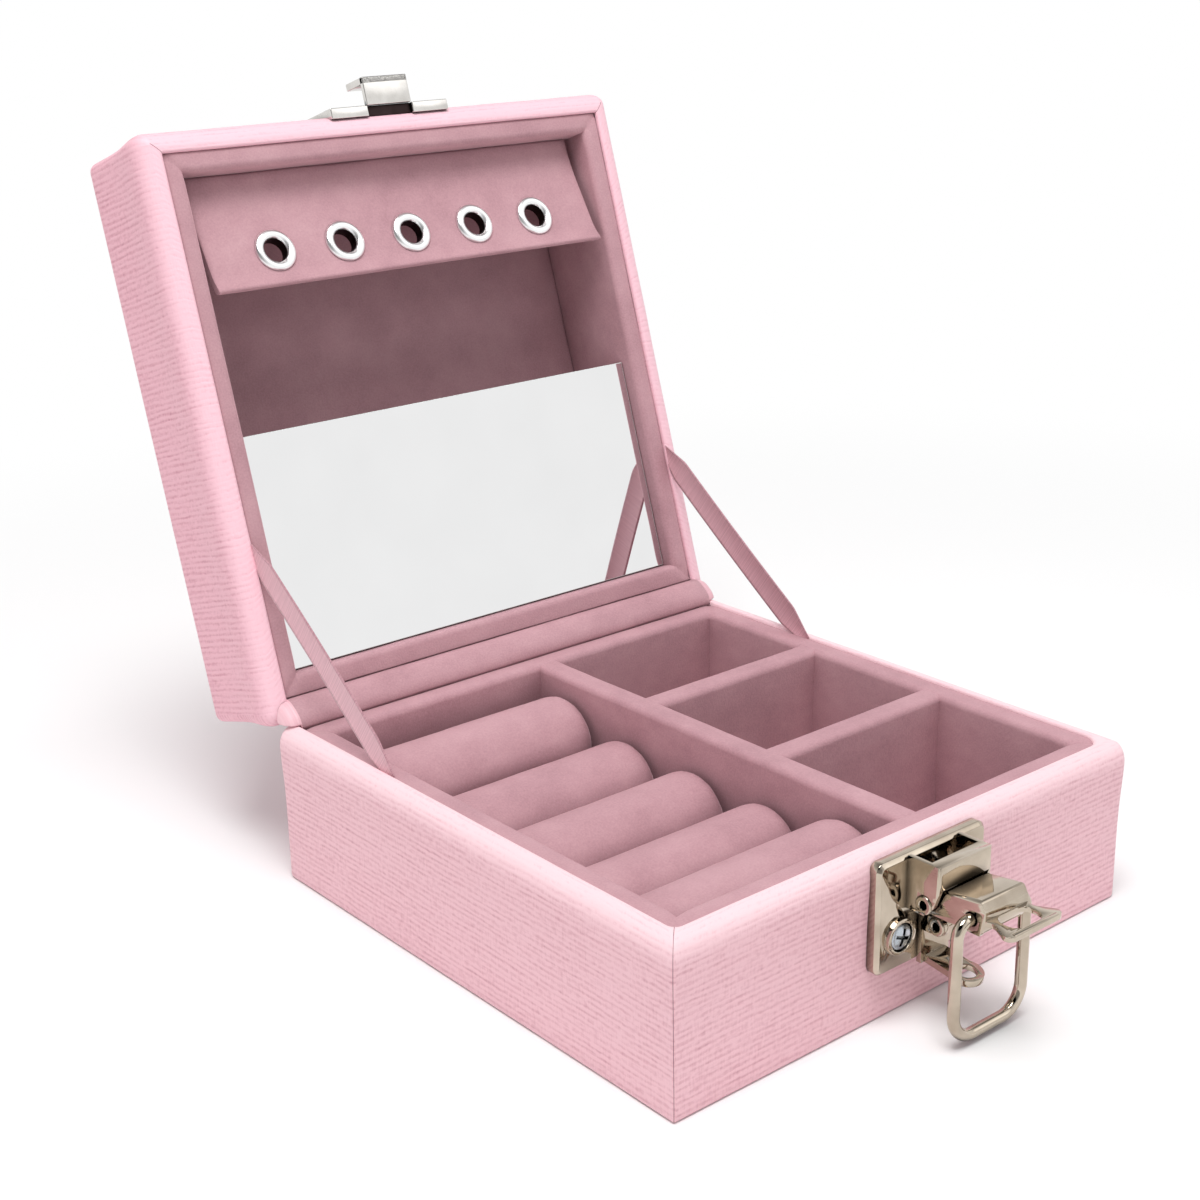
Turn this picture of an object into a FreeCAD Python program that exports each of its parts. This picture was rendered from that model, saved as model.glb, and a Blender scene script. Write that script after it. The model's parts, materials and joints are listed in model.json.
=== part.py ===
import FreeCAD, Part
import math
import os

# Small leather jewellery case, in millimetres. +X runs to the right along the front, +Y from front to back,
# +Z up, and the origin is the centre of the underside. The lid is drawn shut and then swung open, so the
# model stands at rest with the lid open, the latch lever out and the wire bail hanging.

# Case
case_width = 115.0
case_depth = 115.0
base_height = 32.5
lid_height = 26.0
rim_gap = 0.4
lid_open_angle = 107.0

# Shell
leather = 1.0
wall_board = 2.2
back_board = 3.0
floor_board = 2.0
top_board = 2.2
bottom_sheet = 0.8
wrap_lift = 0.2
corner_round = 2.5
rim_round = 1.5
lid_edge_round = 2.0
round_margin = 0.05

# Velvet tray and lid linings
lining = 4.5
lining_round = 2.2
lining_drop = 0.6
floor_pad = 1.0
roof_lining = 0.8
divider = 5.5
divider_round = 2.6
divider_drop = 0.8
centre_divider_x = 4.0
cross_divider_ys = (19.0, -15.5)

# Ring rolls, counted from the back
roll_count = 5
roll_gap = 0.3
roll_end_drop = 3.6
roll_middle_drop = 7.6
roll_end_round = 6.0

# Hinge and stay ribbons
spine_leaf = 6.0
band_thickness = 0.9
band_bulge = 2.6
band_tuck = 0.9
band_lip_turn = 8.0
ribbon_width = 6.0
ribbon_thickness = 0.35
ribbon_anchor = 33.0
ribbon_tuck = 1.3
ribbon_gap = 0.05

# Mirror in the lid
mirror_height = 47.0
mirror_set = 4.0
mirror_glass_thickness = 2.0
mirror_board_thickness = 2.2
mirror_gap = 0.3

# Earring flap
flap_thickness = 2.0
flap_length = 23.5
flap_side_gap = 1.6
flap_root_gap = 0.3
flap_hinge_set = 8.0
flap_lean = 14.5
flap_edge_round = 0.9
eyelet_count = 5
eyelet_side = 15.4
eyelet_set = 16.0
eyelet_bore_radius = 2.5
eyelet_wall = 0.6
eyelet_flange_radius = 4.5
eyelet_flange = 0.8
eyelet_gap = 0.05

# Latch back plate and hood
plate_width = 27.5
plate_height = 21.0
plate_depth = 2.4
plate_rim_gap = 1.5
plate_round = 1.8
plate_edge_bevel = 0.7
latch_sheet = 0.9
hood_width = 13.5
hood_depth = 7.1
hood_edge_round = 0.8
hood_lip = 2.6
seat_wall = 0.75
seat_gap = 0.15
seat_rise = 0.9

# Latch lever, measured from its pin: reach is outward and rise is upward
pin_out = 6.25
pin_below_plate_top = 7.8
pin_radius = 1.1
pin_head_radius = 1.7
pin_head = 0.35
running_gap = 0.05
lever_width = 10.9
lever_eye_radius = 2.0
lever_reach = 11.9
lever_heel_reach = 2.9
lever_heel_rise = 3.3
lever_crown_reach = 10.8
lever_crown_rise = 4.4
lever_shoulder_rise = 2.6
lever_keel = 2.0
lever_hood_gap = 0.3
lever_edge_round = 0.7
lip_sheet = 0.9
lip_rise = 0.7
lip_neck_half = 4.9
lip_neck_reach = 13.4
lip_neck_round = 1.6
lip_flare_half = 6.9
lip_flare_reach = 16.8
lip_reach = 18.4
lip_bead_radius = 0.6
lip_corner_round = 1.4
slot_half = 3.9
slot_near = 12.1
slot_far = 17.2
slot_round = 2.2

# Wire bail and the bush that carries its ends
wire_radius = 1.1
bail_pivot_reach = 8.95
bail_pivot_rise = 0.5
bail_length = 22.0
bail_spread = 17.6
bail_shoulder_round = 2.6
bail_corner_round = 4.2
bail_bend_steps = 3
bail_hole_gap = 0.2
bush_radius = 1.8
bush_end_gap = 0.15
bush_grip = 2.2
latched_lean = 7.0

# Padlock eye bracket
eye_sheet = 1.2
eye_flange_half = 3.6
ear_sheet = 1.0
ear_rivet_out = 6.6
ear_rivet_below_plate_top = 12.9
ear_radius = 1.8
eye_tab_below_plate_top = 20.0
eye_tab_half = 2.7
eye_drop_angle = 8.0
eye_reach = 7.1
eye_ring_radius = 3.1
eye_hole_radius = 2.0
rivet_gap = 0.05

# Strike on the lid
strike_width = 29.0
strike_height = 13.5
strike_depth = 2.2
strike_rim_gap = 0.6
strike_round = 1.5
strike_edge_bevel = 0.6
hook_half = 5.5
hook_throat = 4.3
hook_wall = 1.5
hook_depth = 5.4
hook_clearance = 0.35
hook_edge_round = 1.0

# Screws
screw_head_radius = 2.5
screw_head = 1.1
screw_shank_radius = 1.2
screw_bite = 1.8
screw_gap = 0.05
plate_screw_x = 8.45
plate_screw_below_plate_top = 14.5
strike_screw_x = 10.0
strike_screw_radius = 2.2

# Derived places
half_width = case_width / 2
front_face = -case_depth / 2
back_face = case_depth / 2
wall = leather + wall_board
back_wall = leather + back_board
tray_half = half_width - wall
tray_front = front_face + wall
tray_back = back_face - back_wall
tray_floor = bottom_sheet + floor_board + floor_pad
inner_half = tray_half - lining
inner_front = tray_front + lining
inner_back = tray_back - lining
lid_rim = base_height + rim_gap
lid_top = lid_rim + lid_height
lid_roof = lid_top - leather - top_board
hinge_z = base_height + rim_gap / 2
plate_top = base_height - plate_rim_gap
pin_z = plate_top - pin_below_plate_top
hinge_point = FreeCAD.Vector(0, back_face, hinge_z)
past = 1.0

nodes = {}


# Drawing helpers

def point(x, y, z):
    return FreeCAD.Vector(x, y, z)


def block(x0, x1, y0, y1, z0, z1):
    return Part.makeBox(x1 - x0, y1 - y0, z1 - z0, point(x0, y0, z0))


def plan_prism(corners, z0, z1):
    loop = [point(x, y, z0) for x, y in corners]
    return Part.Face(Part.makePolygon(loop + loop[:1])).extrude(point(0, 0, z1 - z0))


def side_prism(corners, x0, x1):
    """Prism along X from corners given as (y, z)."""
    loop = [point(x0, y, z) for y, z in corners]
    return Part.Face(Part.makePolygon(loop + loop[:1])).extrude(point(x1 - x0, 0, 0))


def cross_bar(radius, x0, x1, y, z):
    """Round bar along X."""
    return Part.makeCylinder(radius, x1 - x0, point(x0, y, z), point(1, 0, 0))


def runs_along(edge, axis):
    if not isinstance(edge.Curve, Part.Line):
        return False
    return abs(edge.tangentAt(edge.FirstParameter).dot(axis)) > 0.999


def lies_at(edge, axis, place):
    return all(abs(v.Point.dot(axis) - place) < 1e-6 for v in edge.Vertexes)


def rounded(solid, radius, keep):
    """The solid with a fillet on every edge that keep accepts."""
    return solid.makeFillet(radius, [edge for edge in solid.Edges if keep(edge)])


def bevelled(solid, size, keep):
    """The solid with a chamfer on every edge that keep accepts."""
    return solid.makeChamfer(size, [edge for edge in solid.Edges if keep(edge)])


X = point(1, 0, 0)
Y = point(0, 1, 0)
Z = point(0, 0, 1)


def wall_ring(x_half, y_front, y_back, thick, back_thick, z0, z1):
    """Four mitred walls round a rectangle, keyed by side."""
    x_in = x_half - thick
    front_in = y_front + thick
    back_in = y_back - back_thick
    outer = [(-x_half, y_front), (x_half, y_front), (x_half, y_back), (-x_half, y_back)]
    inner = [(-x_in, front_in), (x_in, front_in), (x_in, back_in), (-x_in, back_in)]
    sides = {}
    for index, side in enumerate(("front", "right", "back", "left")):
        after = (index + 1) % 4
        corners = [outer[index], outer[after], inner[after], inner[index]]
        sides[side] = plan_prism(corners, z0, z1)
    return sides


def within(radius, thickness):
    """A rounding radius, kept under half of the thickness that it rounds."""
    return min(radius, thickness / 2 - round_margin)


def soft_edge(pad, radius, z):
    """A pad whose long edges at height z are rolled over."""
    return rounded(pad, radius, lambda e: lies_at(e, Z, z) and (runs_along(e, X) or runs_along(e, Y)))


def rounded_divider(x0, x1, y0, y1, along):
    top = base_height - divider_drop
    body = block(x0, x1, y0, y1, tray_floor, top)
    radius = within(divider_round, divider)
    return rounded(body, radius, lambda e: lies_at(e, Z, top) and runs_along(e, along))


def opened(shape):
    """A lid piece, drawn with the lid shut, swung to the rest pose."""
    shape = shape.copy()
    shape.rotate(hinge_point, point(-1, 0, 0), lid_open_angle)
    return shape


def outward(distance):
    """Y of a point that stands this far out from the front leather face."""
    return front_face - distance


def screw(x, seat_out, z, head_radius):
    """Pan head screw driven straight in through the front, with its head on a seat."""
    shank = seat_out + leather + screw_bite
    head = Part.makeCylinder(head_radius, screw_head, point(x, outward(seat_out), z), -Y)
    return head.fuse(Part.makeCylinder(screw_shank_radius, shank, point(x, outward(seat_out), z), Y))


def screw_hole(x, z):
    length = 2 * (plate_depth + wall)
    start = point(x, outward(length / 2), z)
    return Part.makeCylinder(screw_shank_radius + screw_gap, length, start, Y)


# Shell of base and lid

plate_screw_z = plate_top - plate_screw_below_plate_top
plate_holes = [screw_hole(side * plate_screw_x, plate_screw_z) for side in (-1, 1)]
strike_z = lid_rim + strike_rim_gap
strike_screw_z = strike_z + strike_height / 2
strike_holes = [screw_hole(side * strike_screw_x, strike_screw_z) for side in (-1, 1)]


def rounded_case(z0, z1, round_low, round_high):
    body = block(-half_width, half_width, front_face, back_face, z0, z1)
    body = rounded(body, corner_round, lambda e: runs_along(e, Z))
    if round_low:
        body = rounded(body, round_low, lambda e: lies_at(e, Z, z0))
    return rounded(body, round_high, lambda e: lies_at(e, Z, z1))


def board_space(z0, z1):
    inset = leather
    return block(inset - half_width, half_width - inset, front_face + inset, back_face - inset, z0, z1)


def mouth(z0, z1):
    return block(-tray_half, tray_half, tray_front, tray_back, z0, z1)


def spine_seat(z0, z1):
    return block(-tray_half, tray_half, tray_back, back_face + past, z0, z1)


def base_shell():
    wrap = rounded_case(wrap_lift, base_height, 0, rim_round)
    wrap = wrap.cut(board_space(wrap_lift - past, base_height - leather))
    wrap = wrap.cut(mouth(wrap_lift, base_height + past))
    wrap = wrap.cut(spine_seat(base_height - spine_leaf, base_height + past))
    nodes["base_leather_wrap"] = wrap.cut(plate_holes)
    nodes["base_bottom_sheet"] = board_space(0, bottom_sheet)
    boards = wall_ring(half_width - leather, front_face + leather, back_face - leather,
                       wall_board, back_board, bottom_sheet, base_height - leather)
    boards["front"] = boards["front"].cut(plate_holes)
    for side, solid in boards.items():
        nodes["base_" + side + "_board"] = solid
    nodes["base_floor_board"] = mouth(bottom_sheet, bottom_sheet + floor_board)


def lid_shell():
    wrap = rounded_case(lid_rim, lid_top, rim_round, lid_edge_round)
    wrap = wrap.cut(board_space(lid_rim + leather, lid_top - leather))
    wrap = wrap.cut(mouth(lid_rim - past, lid_rim + leather + past))
    wrap = wrap.cut(spine_seat(lid_rim - past, lid_rim + spine_leaf))
    nodes["lid_leather_wrap"] = opened(wrap.cut(strike_holes))
    boards = wall_ring(half_width - leather, front_face + leather, back_face - leather,
                       wall_board, back_board, lid_rim + leather, lid_roof)
    boards["front"] = boards["front"].cut(strike_holes)
    for side, solid in boards.items():
        nodes["lid_" + side + "_board"] = opened(solid)
    nodes["lid_top_board"] = opened(board_space(lid_roof, lid_roof + top_board))


# Velvet tray

def tray():
    nodes["tray_floor_pad"] = mouth(tray_floor - floor_pad, tray_floor)
    top = base_height - lining_drop
    radius = within(lining_round, lining)
    pads = wall_ring(tray_half, tray_front, tray_back, lining, lining, tray_floor, top)
    for side, pad in pads.items():
        nodes["tray_" + side + "_lining"] = soft_edge(pad, radius, top)
    half = divider / 2
    nodes["centre_divider"] = rounded_divider(centre_divider_x - half, centre_divider_x + half,
                                              inner_front, inner_back, Y)
    for place, y in zip(("back", "front"), cross_divider_ys):
        nodes["cross_divider_" + place] = rounded_divider(centre_divider_x + half, inner_half,
                                                          y - half, y + half, X)


def ring_roll(y, width, top):
    """Foam roll with a crowned back and turned-in foot, domed at its ends in plan and from the side."""
    radius = width / 2
    spring = top - radius
    x0 = -inner_half + roll_gap
    x1 = centre_divider_x - divider / 2 - roll_gap
    foot_left = point(x0, y - radius, tray_floor)
    foot_right = point(x0, y + radius, tray_floor)
    shoulder_left = point(x0, y - radius, spring)
    shoulder_right = point(x0, y + radius, spring)
    outline = [
        Part.makeLine(foot_left, foot_right),
        Part.makeLine(foot_right, shoulder_right),
        Part.Arc(shoulder_right, point(x0, y, top), shoulder_left).toShape(),
        Part.makeLine(shoulder_left, foot_left),
    ]
    roll = Part.Face(Part.Wire(outline)).extrude(point(x1 - x0, 0, 0))
    room = block(x0, x1, y - radius, y + radius, tray_floor, top)
    end_round = within(roll_end_round, width)
    plan_ends = rounded(room, end_round, lambda e: runs_along(e, Z))
    side_ends = rounded(room, end_round, lambda e: runs_along(e, Y) and lies_at(e, Z, top))
    return roll.common(plan_ends).common(side_ends)


def ring_rolls():
    pitch = (inner_back - inner_front) / roll_count
    for index in range(roll_count):
        at_an_end = index in (0, roll_count - 1)
        top = base_height - (roll_end_drop if at_an_end else roll_middle_drop)
        y = inner_back - (index + 0.5) * pitch
        nodes["ring_roll_%d" % (index + 1)] = ring_roll(y, pitch - roll_gap, top)


# Hinge and stay ribbons

def about_hinge(radius, degrees):
    """(y, z) at a radius from the hinge line, with the angle counted from the base rim up to the lid rim."""
    turn = math.radians(degrees)
    return back_face - radius * math.cos(turn), hinge_z + radius * math.sin(turn)


def arc_edge(start, middle, end, x):
    return Part.Arc(*[point(x, y, z) for y, z in (start, middle, end)]).toShape()


def line_edge(start, end, x):
    return Part.makeLine(point(x, *start), point(x, *end))


def hinge_spine():
    """Leather hinge: one leaf on each back board, joined round the hinge line."""
    x0 = -tray_half
    leaf = block(x0, tray_half, back_face - leather, back_face, base_height - spine_leaf, hinge_z)
    lid_leaf = block(x0, tray_half, back_face - leather, back_face, hinge_z, lid_rim + spine_leaf)
    axis = (back_face, hinge_z)
    start = about_hinge(leather, 0)
    middle = about_hinge(leather, lid_open_angle / 2)
    end = about_hinge(leather, lid_open_angle)
    outline = [line_edge(axis, start, x0), arc_edge(start, middle, end, x0), line_edge(end, axis, x0)]
    fold = Part.Face(Part.Wire(outline)).extrude(point(2 * tray_half, 0, 0))
    nodes["hinge_spine"] = leaf.fuse([fold, opened(lid_leaf)]).removeSplitter()


def hinge_band():
    """Velvet band across the hinge, tucked behind the tray lining and the lid's lower strip."""
    x0 = -tray_half + ribbon_gap
    drop = band_tuck + rim_gap / 2
    reach = math.hypot(back_wall, drop)
    tilt = math.degrees(math.atan2(drop, back_wall))
    half_turn = lid_open_angle / 2
    base_end = about_hinge(reach, -tilt)
    lid_end = about_hinge(reach, lid_open_angle + tilt)
    base_lip = about_hinge(reach + band_thickness / 2, band_lip_turn - tilt)
    lid_lip = about_hinge(reach + band_thickness / 2, lid_open_angle + tilt - band_lip_turn)
    under = about_hinge(band_bulge - band_thickness, half_turn)
    crown = about_hinge(band_bulge, half_turn)
    outline = [
        arc_edge(base_end, under, lid_end, x0),
        line_edge(lid_end, lid_lip, x0),
        arc_edge(lid_lip, crown, base_lip, x0),
        line_edge(base_lip, base_end, x0),
    ]
    nodes["hinge_lining"] = Part.Face(Part.Wire(outline)).extrude(point(-2 * x0, 0, 0))


def stay_ribbons():
    """Two flat ribbons that stop the lid, tucked between the leather rim and the velvet."""
    base_anchor = (back_face - ribbon_anchor, hinge_z)
    lid_anchor = about_hinge(ribbon_anchor, lid_open_angle)
    run_y = lid_anchor[0] - base_anchor[0]
    run_z = lid_anchor[1] - base_anchor[1]
    run = math.hypot(run_y, run_z)
    side_y = -run_z / run * ribbon_width / 2
    side_z = run_y / run * ribbon_width / 2
    beyond = ribbon_anchor / run
    corners = []
    for end, sign in ((-beyond, -1), (-beyond, 1), (1 + beyond, 1), (1 + beyond, -1)):
        y = base_anchor[0] + run_y * end + side_y * sign
        z = base_anchor[1] + run_z * end + side_z * sign
        corners.append((y, z))
    x1 = tray_half - ribbon_gap
    x0 = x1 - ribbon_thickness
    strap = side_prism(corners, x0, x1)
    far = 2 * case_depth
    below_base = block(x0 - past, x1 + past, -far, far, -far, base_height - ribbon_tuck)
    below_lid = opened(block(x0 - past, x1 + past, -far, far, lid_rim + ribbon_tuck, far))
    strap = strap.cut([below_base, below_lid])
    nodes["ribbon_right"] = strap
    nodes["ribbon_left"] = strap.mirror(point(0, 0, 0), X)


# Lid interior

def lid_interior():
    low = lid_rim + lining_drop
    radius = within(lining_round, lining)
    strips = wall_ring(tray_half, tray_front, tray_back, lining, lining, low, lid_roof)
    for side, place in (("front", "top"), ("back", "bottom"), ("left", "left"), ("right", "right")):
        nodes["lid_frame_" + place] = opened(soft_edge(strips[side], radius, low))
    panel = block(-inner_half, inner_half, inner_front, inner_back, lid_roof - roof_lining, lid_roof)
    nodes["lid_lining_panel"] = opened(panel)


def mirror():
    half = inner_half - mirror_gap
    y1 = inner_back - mirror_gap
    y0 = y1 - mirror_height
    face = lid_rim + mirror_set
    back = face + mirror_glass_thickness
    nodes["mirror_glass"] = opened(block(-half, half, y0, y1, face, back))
    nodes["mirror_board"] = opened(block(-half, half, y0, y1, back, back + mirror_board_thickness))


def on_flap(shape):
    """A flap piece, drawn lying flat from the flap's hinge line, set into the open lid."""
    shape = shape.copy()
    shape.rotate(point(0, 0, 0), X, -flap_lean)
    root = inner_front + flap_thickness / 2 + flap_root_gap
    shape.translate(point(0, root, lid_rim + flap_hinge_set))
    return opened(shape)


def eyelet(x):
    """Eyelet: a barrel through the flap, proud of its back, with a raised flange in front."""
    face = -flap_thickness / 2 - eyelet_gap
    outer = eyelet_bore_radius + eyelet_wall
    crown = face - eyelet_flange
    heel = flap_thickness / 2 + eyelet_flange / 2
    outline = [(eyelet_bore_radius, crown), (eyelet_flange_radius, crown), (eyelet_flange_radius, face),
               (outer, face), (outer, heel), (eyelet_bore_radius, heel)]
    loop = [point(radius, 0, z) for radius, z in outline]
    ring = Part.Face(Part.makePolygon(loop + loop[:1])).revolve(point(0, 0, 0), Z, 360)
    ring.translate(point(x, eyelet_set, 0))
    return ring


def earring_flap():
    half = inner_half - flap_side_gap
    thick = flap_thickness / 2
    card = block(-half, half, 0, flap_length, -thick, thick)
    edge_round = within(flap_edge_round, flap_thickness)
    card = rounded(card, edge_round, lambda e: runs_along(e, X) and lies_at(e, Y, flap_length))
    card = card.fuse(cross_bar(thick, -half, half, 0, 0)).removeSplitter()
    hole_radius = eyelet_bore_radius + eyelet_wall + eyelet_gap
    first = eyelet_side - half
    pitch = -2 * first / (eyelet_count - 1)
    for index in range(eyelet_count):
        x = first + index * pitch
        hole = Part.makeCylinder(hole_radius, flap_thickness + 2 * past, point(x, eyelet_set, -thick - past))
        card = card.cut(hole)
        nodes["eyelet_%d" % (index + 1)] = on_flap(eyelet(x))
    nodes["earring_flap"] = on_flap(card)


# Latch on the base

def back_plate():
    """Pressed pan with a folded rim that seats on the leather, and a collar round each screw head."""
    half = plate_width / 2
    low = plate_top - plate_height
    face = outward(plate_depth)
    pan = block(-half, half, face, front_face, low, plate_top)
    pan = rounded(pan, plate_round, lambda e: runs_along(e, Y))
    pan = bevelled(pan, plate_edge_bevel, lambda e: lies_at(e, Y, face))
    screw_places = [point(side * plate_screw_x, face, plate_screw_z) for side in (-1, 1)]
    pocket_radius = screw_head_radius + seat_gap
    collars = [Part.makeCylinder(pocket_radius + seat_wall, seat_rise, place, -Y) for place in screw_places]
    pockets = [Part.makeCylinder(pocket_radius, seat_rise, place, -Y) for place in screw_places]
    inset = latch_sheet
    hollow = block(inset - half, half - inset, face + inset, front_face + past,
                   low + inset, plate_top - inset)
    nodes["latch_plate"] = pan.fuse(collars).cut(pockets + [hollow] + plate_holes)
    screws = [screw(side * plate_screw_x, plate_depth, plate_screw_z, screw_head_radius)
              for side in (-1, 1)]
    nodes["latch_screws"] = Part.makeCompound(screws)


def hood():
    """Channel bent round the lever's heel: two flanks that carry the pin, a front wall and a slotted top."""
    half = hood_width / 2
    deep = plate_depth + hood_depth
    sill = pin_z + lever_heel_rise + lever_hood_gap
    foot = pin_z - lever_eye_radius
    near = plate_depth
    outline = [(near, plate_top), (deep, plate_top), (deep, sill), (pin_out + lever_eye_radius, pin_z),
               (pin_out, foot), (near, foot)]
    body = side_prism([(outward(out), z) for out, z in outline], -half, half)
    body = rounded(body, hood_edge_round, lambda e: runs_along(e, Z) and lies_at(e, Y, outward(deep)))
    inner = half - latch_sheet
    channel = block(-inner, inner, outward(deep - latch_sheet), outward(near) + past,
                    foot - past, plate_top - latch_sheet)
    slot = block(-inner, inner, outward(deep - hood_lip), outward(near) + past,
                 foot - past, plate_top + past)
    below_sill = block(-inner, inner, outward(deep) - past, outward(near) + past, foot - past, sill)
    pin_hole = cross_bar(pin_radius + rivet_gap, -half - past, half + past, outward(pin_out), pin_z)
    nodes["latch_hood"] = body.cut([channel, slot, below_sill, pin_hole])


def headed_rivet(half, out, z, radius, head_radius, head):
    """Rivet along X with a flat head at each end."""
    y = outward(out)
    body = cross_bar(radius, -half, half, y, z)
    heads = [cross_bar(head_radius, half, half + head, y, z),
             cross_bar(head_radius, -half - head, -half, y, z)]
    return body.fuse(heads)


def on_lever(reach, rise):
    """(y, z) of a point measured outward and upward from the lever's pin."""
    return outward(pin_out + reach), pin_z + rise


def lever_trough():
    """Bent sheet lever: top, nose and two cheeks, open below and at the heel."""
    half = lever_width / 2
    within_eye = lever_eye_radius / 2
    outline = [
        (-within_eye, -within_eye),
        (0, -lever_keel),
        (lever_crown_reach, -lever_keel),
        (lever_reach, 0),
        (lever_reach, lever_shoulder_rise),
        (lever_crown_reach, lever_crown_rise),
        (lever_heel_reach, lever_heel_rise),
        (within_eye, within_eye),
        (-within_eye, within_eye),
    ]
    body = side_prism([on_lever(reach, rise) for reach, rise in outline], -half, half)
    crown_y, crown_z = on_lever(lever_crown_reach, lever_crown_rise)
    heel_y, heel_z = on_lever(lever_heel_reach, lever_heel_rise)

    def on_top(edge):
        ends = [v.Point for v in edge.Vertexes]
        on_line = [abs((p.y - heel_y) * (crown_z - heel_z) - (p.z - heel_z) * (crown_y - heel_y)) < 1e-6
                   for p in ends]
        return all(on_line) and not (runs_along(edge, X) and abs(ends[0].y - heel_y) < 1e-6)

    body = rounded(body, lever_edge_round, on_top)
    inner = half - latch_sheet
    nose = lever_reach - latch_sheet
    below = -lever_keel - past
    inside = [
        (-lever_reach, below),
        (nose, below),
        (nose, lever_shoulder_rise - latch_sheet / 2),
        (lever_crown_reach - latch_sheet / 2, lever_crown_rise - latch_sheet),
        (lever_heel_reach, lever_heel_rise - latch_sheet),
        (lever_heel_reach, lever_crown_rise),
        (-lever_reach, lever_crown_rise),
    ]
    hollow = side_prism([on_lever(reach, rise) for reach, rise in inside], -inner, inner)
    eye_y, eye_z = on_lever(0, 0)
    eyes = [cross_bar(lever_eye_radius, inner, half, eye_y, eye_z),
            cross_bar(lever_eye_radius, -half, -inner, eye_y, eye_z)]
    return body.cut(hollow).fuse(eyes).removeSplitter()


def lever_lip():
    """Flared finger lip with a beaded edge and the slot that passes over the padlock eye."""
    root = lever_reach - latch_sheet
    half = lever_width / 2
    right = [(half, root), (half, lever_reach), (lip_neck_half, lip_neck_reach),
             (lip_flare_half, lip_flare_reach), (lip_flare_half, lip_reach)]
    outline = right + [(-x, reach) for x, reach in reversed(right)]
    z0 = pin_z + lip_rise - lip_sheet / 2
    corners = [(x, outward(pin_out + reach)) for x, reach in outline]
    lip = plan_prism(corners, z0, z0 + lip_sheet)
    end = outward(pin_out + lip_reach)
    neck = outward(pin_out + lip_neck_reach)
    lip = rounded(lip, lip_corner_round, lambda e: runs_along(e, Z) and lies_at(e, Y, end))
    lip = rounded(lip, lip_neck_round, lambda e: runs_along(e, Z) and lies_at(e, Y, neck))
    bead_y, bead_z = on_lever(lip_reach - lip_bead_radius, lip_rise)
    bead_half = lip_flare_half - lip_corner_round
    lip = lip.fuse(cross_bar(lip_bead_radius, -bead_half, bead_half, bead_y, bead_z))
    slot = block(-slot_half, slot_half, outward(pin_out + slot_far), outward(pin_out + slot_near),
                 z0 - past, z0 + lip_sheet + past)
    return lip.cut(rounded(slot, slot_round, lambda e: runs_along(e, Z)))


def lever():
    body = lever_trough().fuse(lever_lip()).removeSplitter()
    across = lever_width / 2 + past
    pin_hole = cross_bar(pin_radius + running_gap, -across, across, *on_lever(0, 0))
    bail_place = on_lever(bail_pivot_reach, bail_pivot_rise)
    bail_hole = cross_bar(wire_radius + bail_hole_gap, -across, across, *bail_place)
    nodes["latch_lever"] = body.cut([pin_hole, bail_hole])
    nodes["lever_pin"] = headed_rivet(hood_width / 2, pin_out, pin_z, pin_radius, pin_head_radius, pin_head)


def bail_and_bush():
    """Bent wire loop whose ends turn in through the lever's cheeks into a bush."""
    y, pivot_z = on_lever(bail_pivot_reach, bail_pivot_rise)
    bush_half = lever_width / 2 - latch_sheet - bush_end_gap
    bush = cross_bar(bush_radius, -bush_half, bush_half, y, pivot_z)
    nodes["bail_bush"] = bush.cut(cross_bar(wire_radius + running_gap, -bush_half, bush_half, y, pivot_z))
    leg = bail_spread / 2
    low = pivot_z - bail_length
    grip = bush_half - bush_grip

    def ring(x, z, turn):
        """Section of the wire where its run has turned this far anticlockwise, seen from the front."""
        circle = Part.makeCircle(wire_radius)
        circle.rotate(point(0, 0, 0), Z, 90)
        circle.rotate(point(0, 0, 0), Y, -turn)
        circle.translate(point(x, y, z))
        return Part.Wire(circle)

    shoulder_z = pivot_z - bail_shoulder_round
    corner_z = low + bail_corner_round
    bends = [(-1, shoulder_z, bail_shoulder_round), (-1, corner_z, bail_corner_round),
             (1, corner_z, bail_corner_round), (1, shoulder_z, bail_shoulder_round)]
    rings = [ring(-grip, pivot_z, 90)]
    for quarter, (side, z, radius) in enumerate(bends, 1):
        centre = side * (leg - radius)
        for step in range(bail_bend_steps + 1):
            turn = 90 * (quarter + step / bail_bend_steps)
            along = math.radians(turn)
            rings.append(ring(centre + radius * math.cos(along), z + radius * math.sin(along), turn))
    rings.append(ring(grip, pivot_z, 90))
    nodes["latch_bail"] = Part.makeLoft(rings, True, True)


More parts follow.
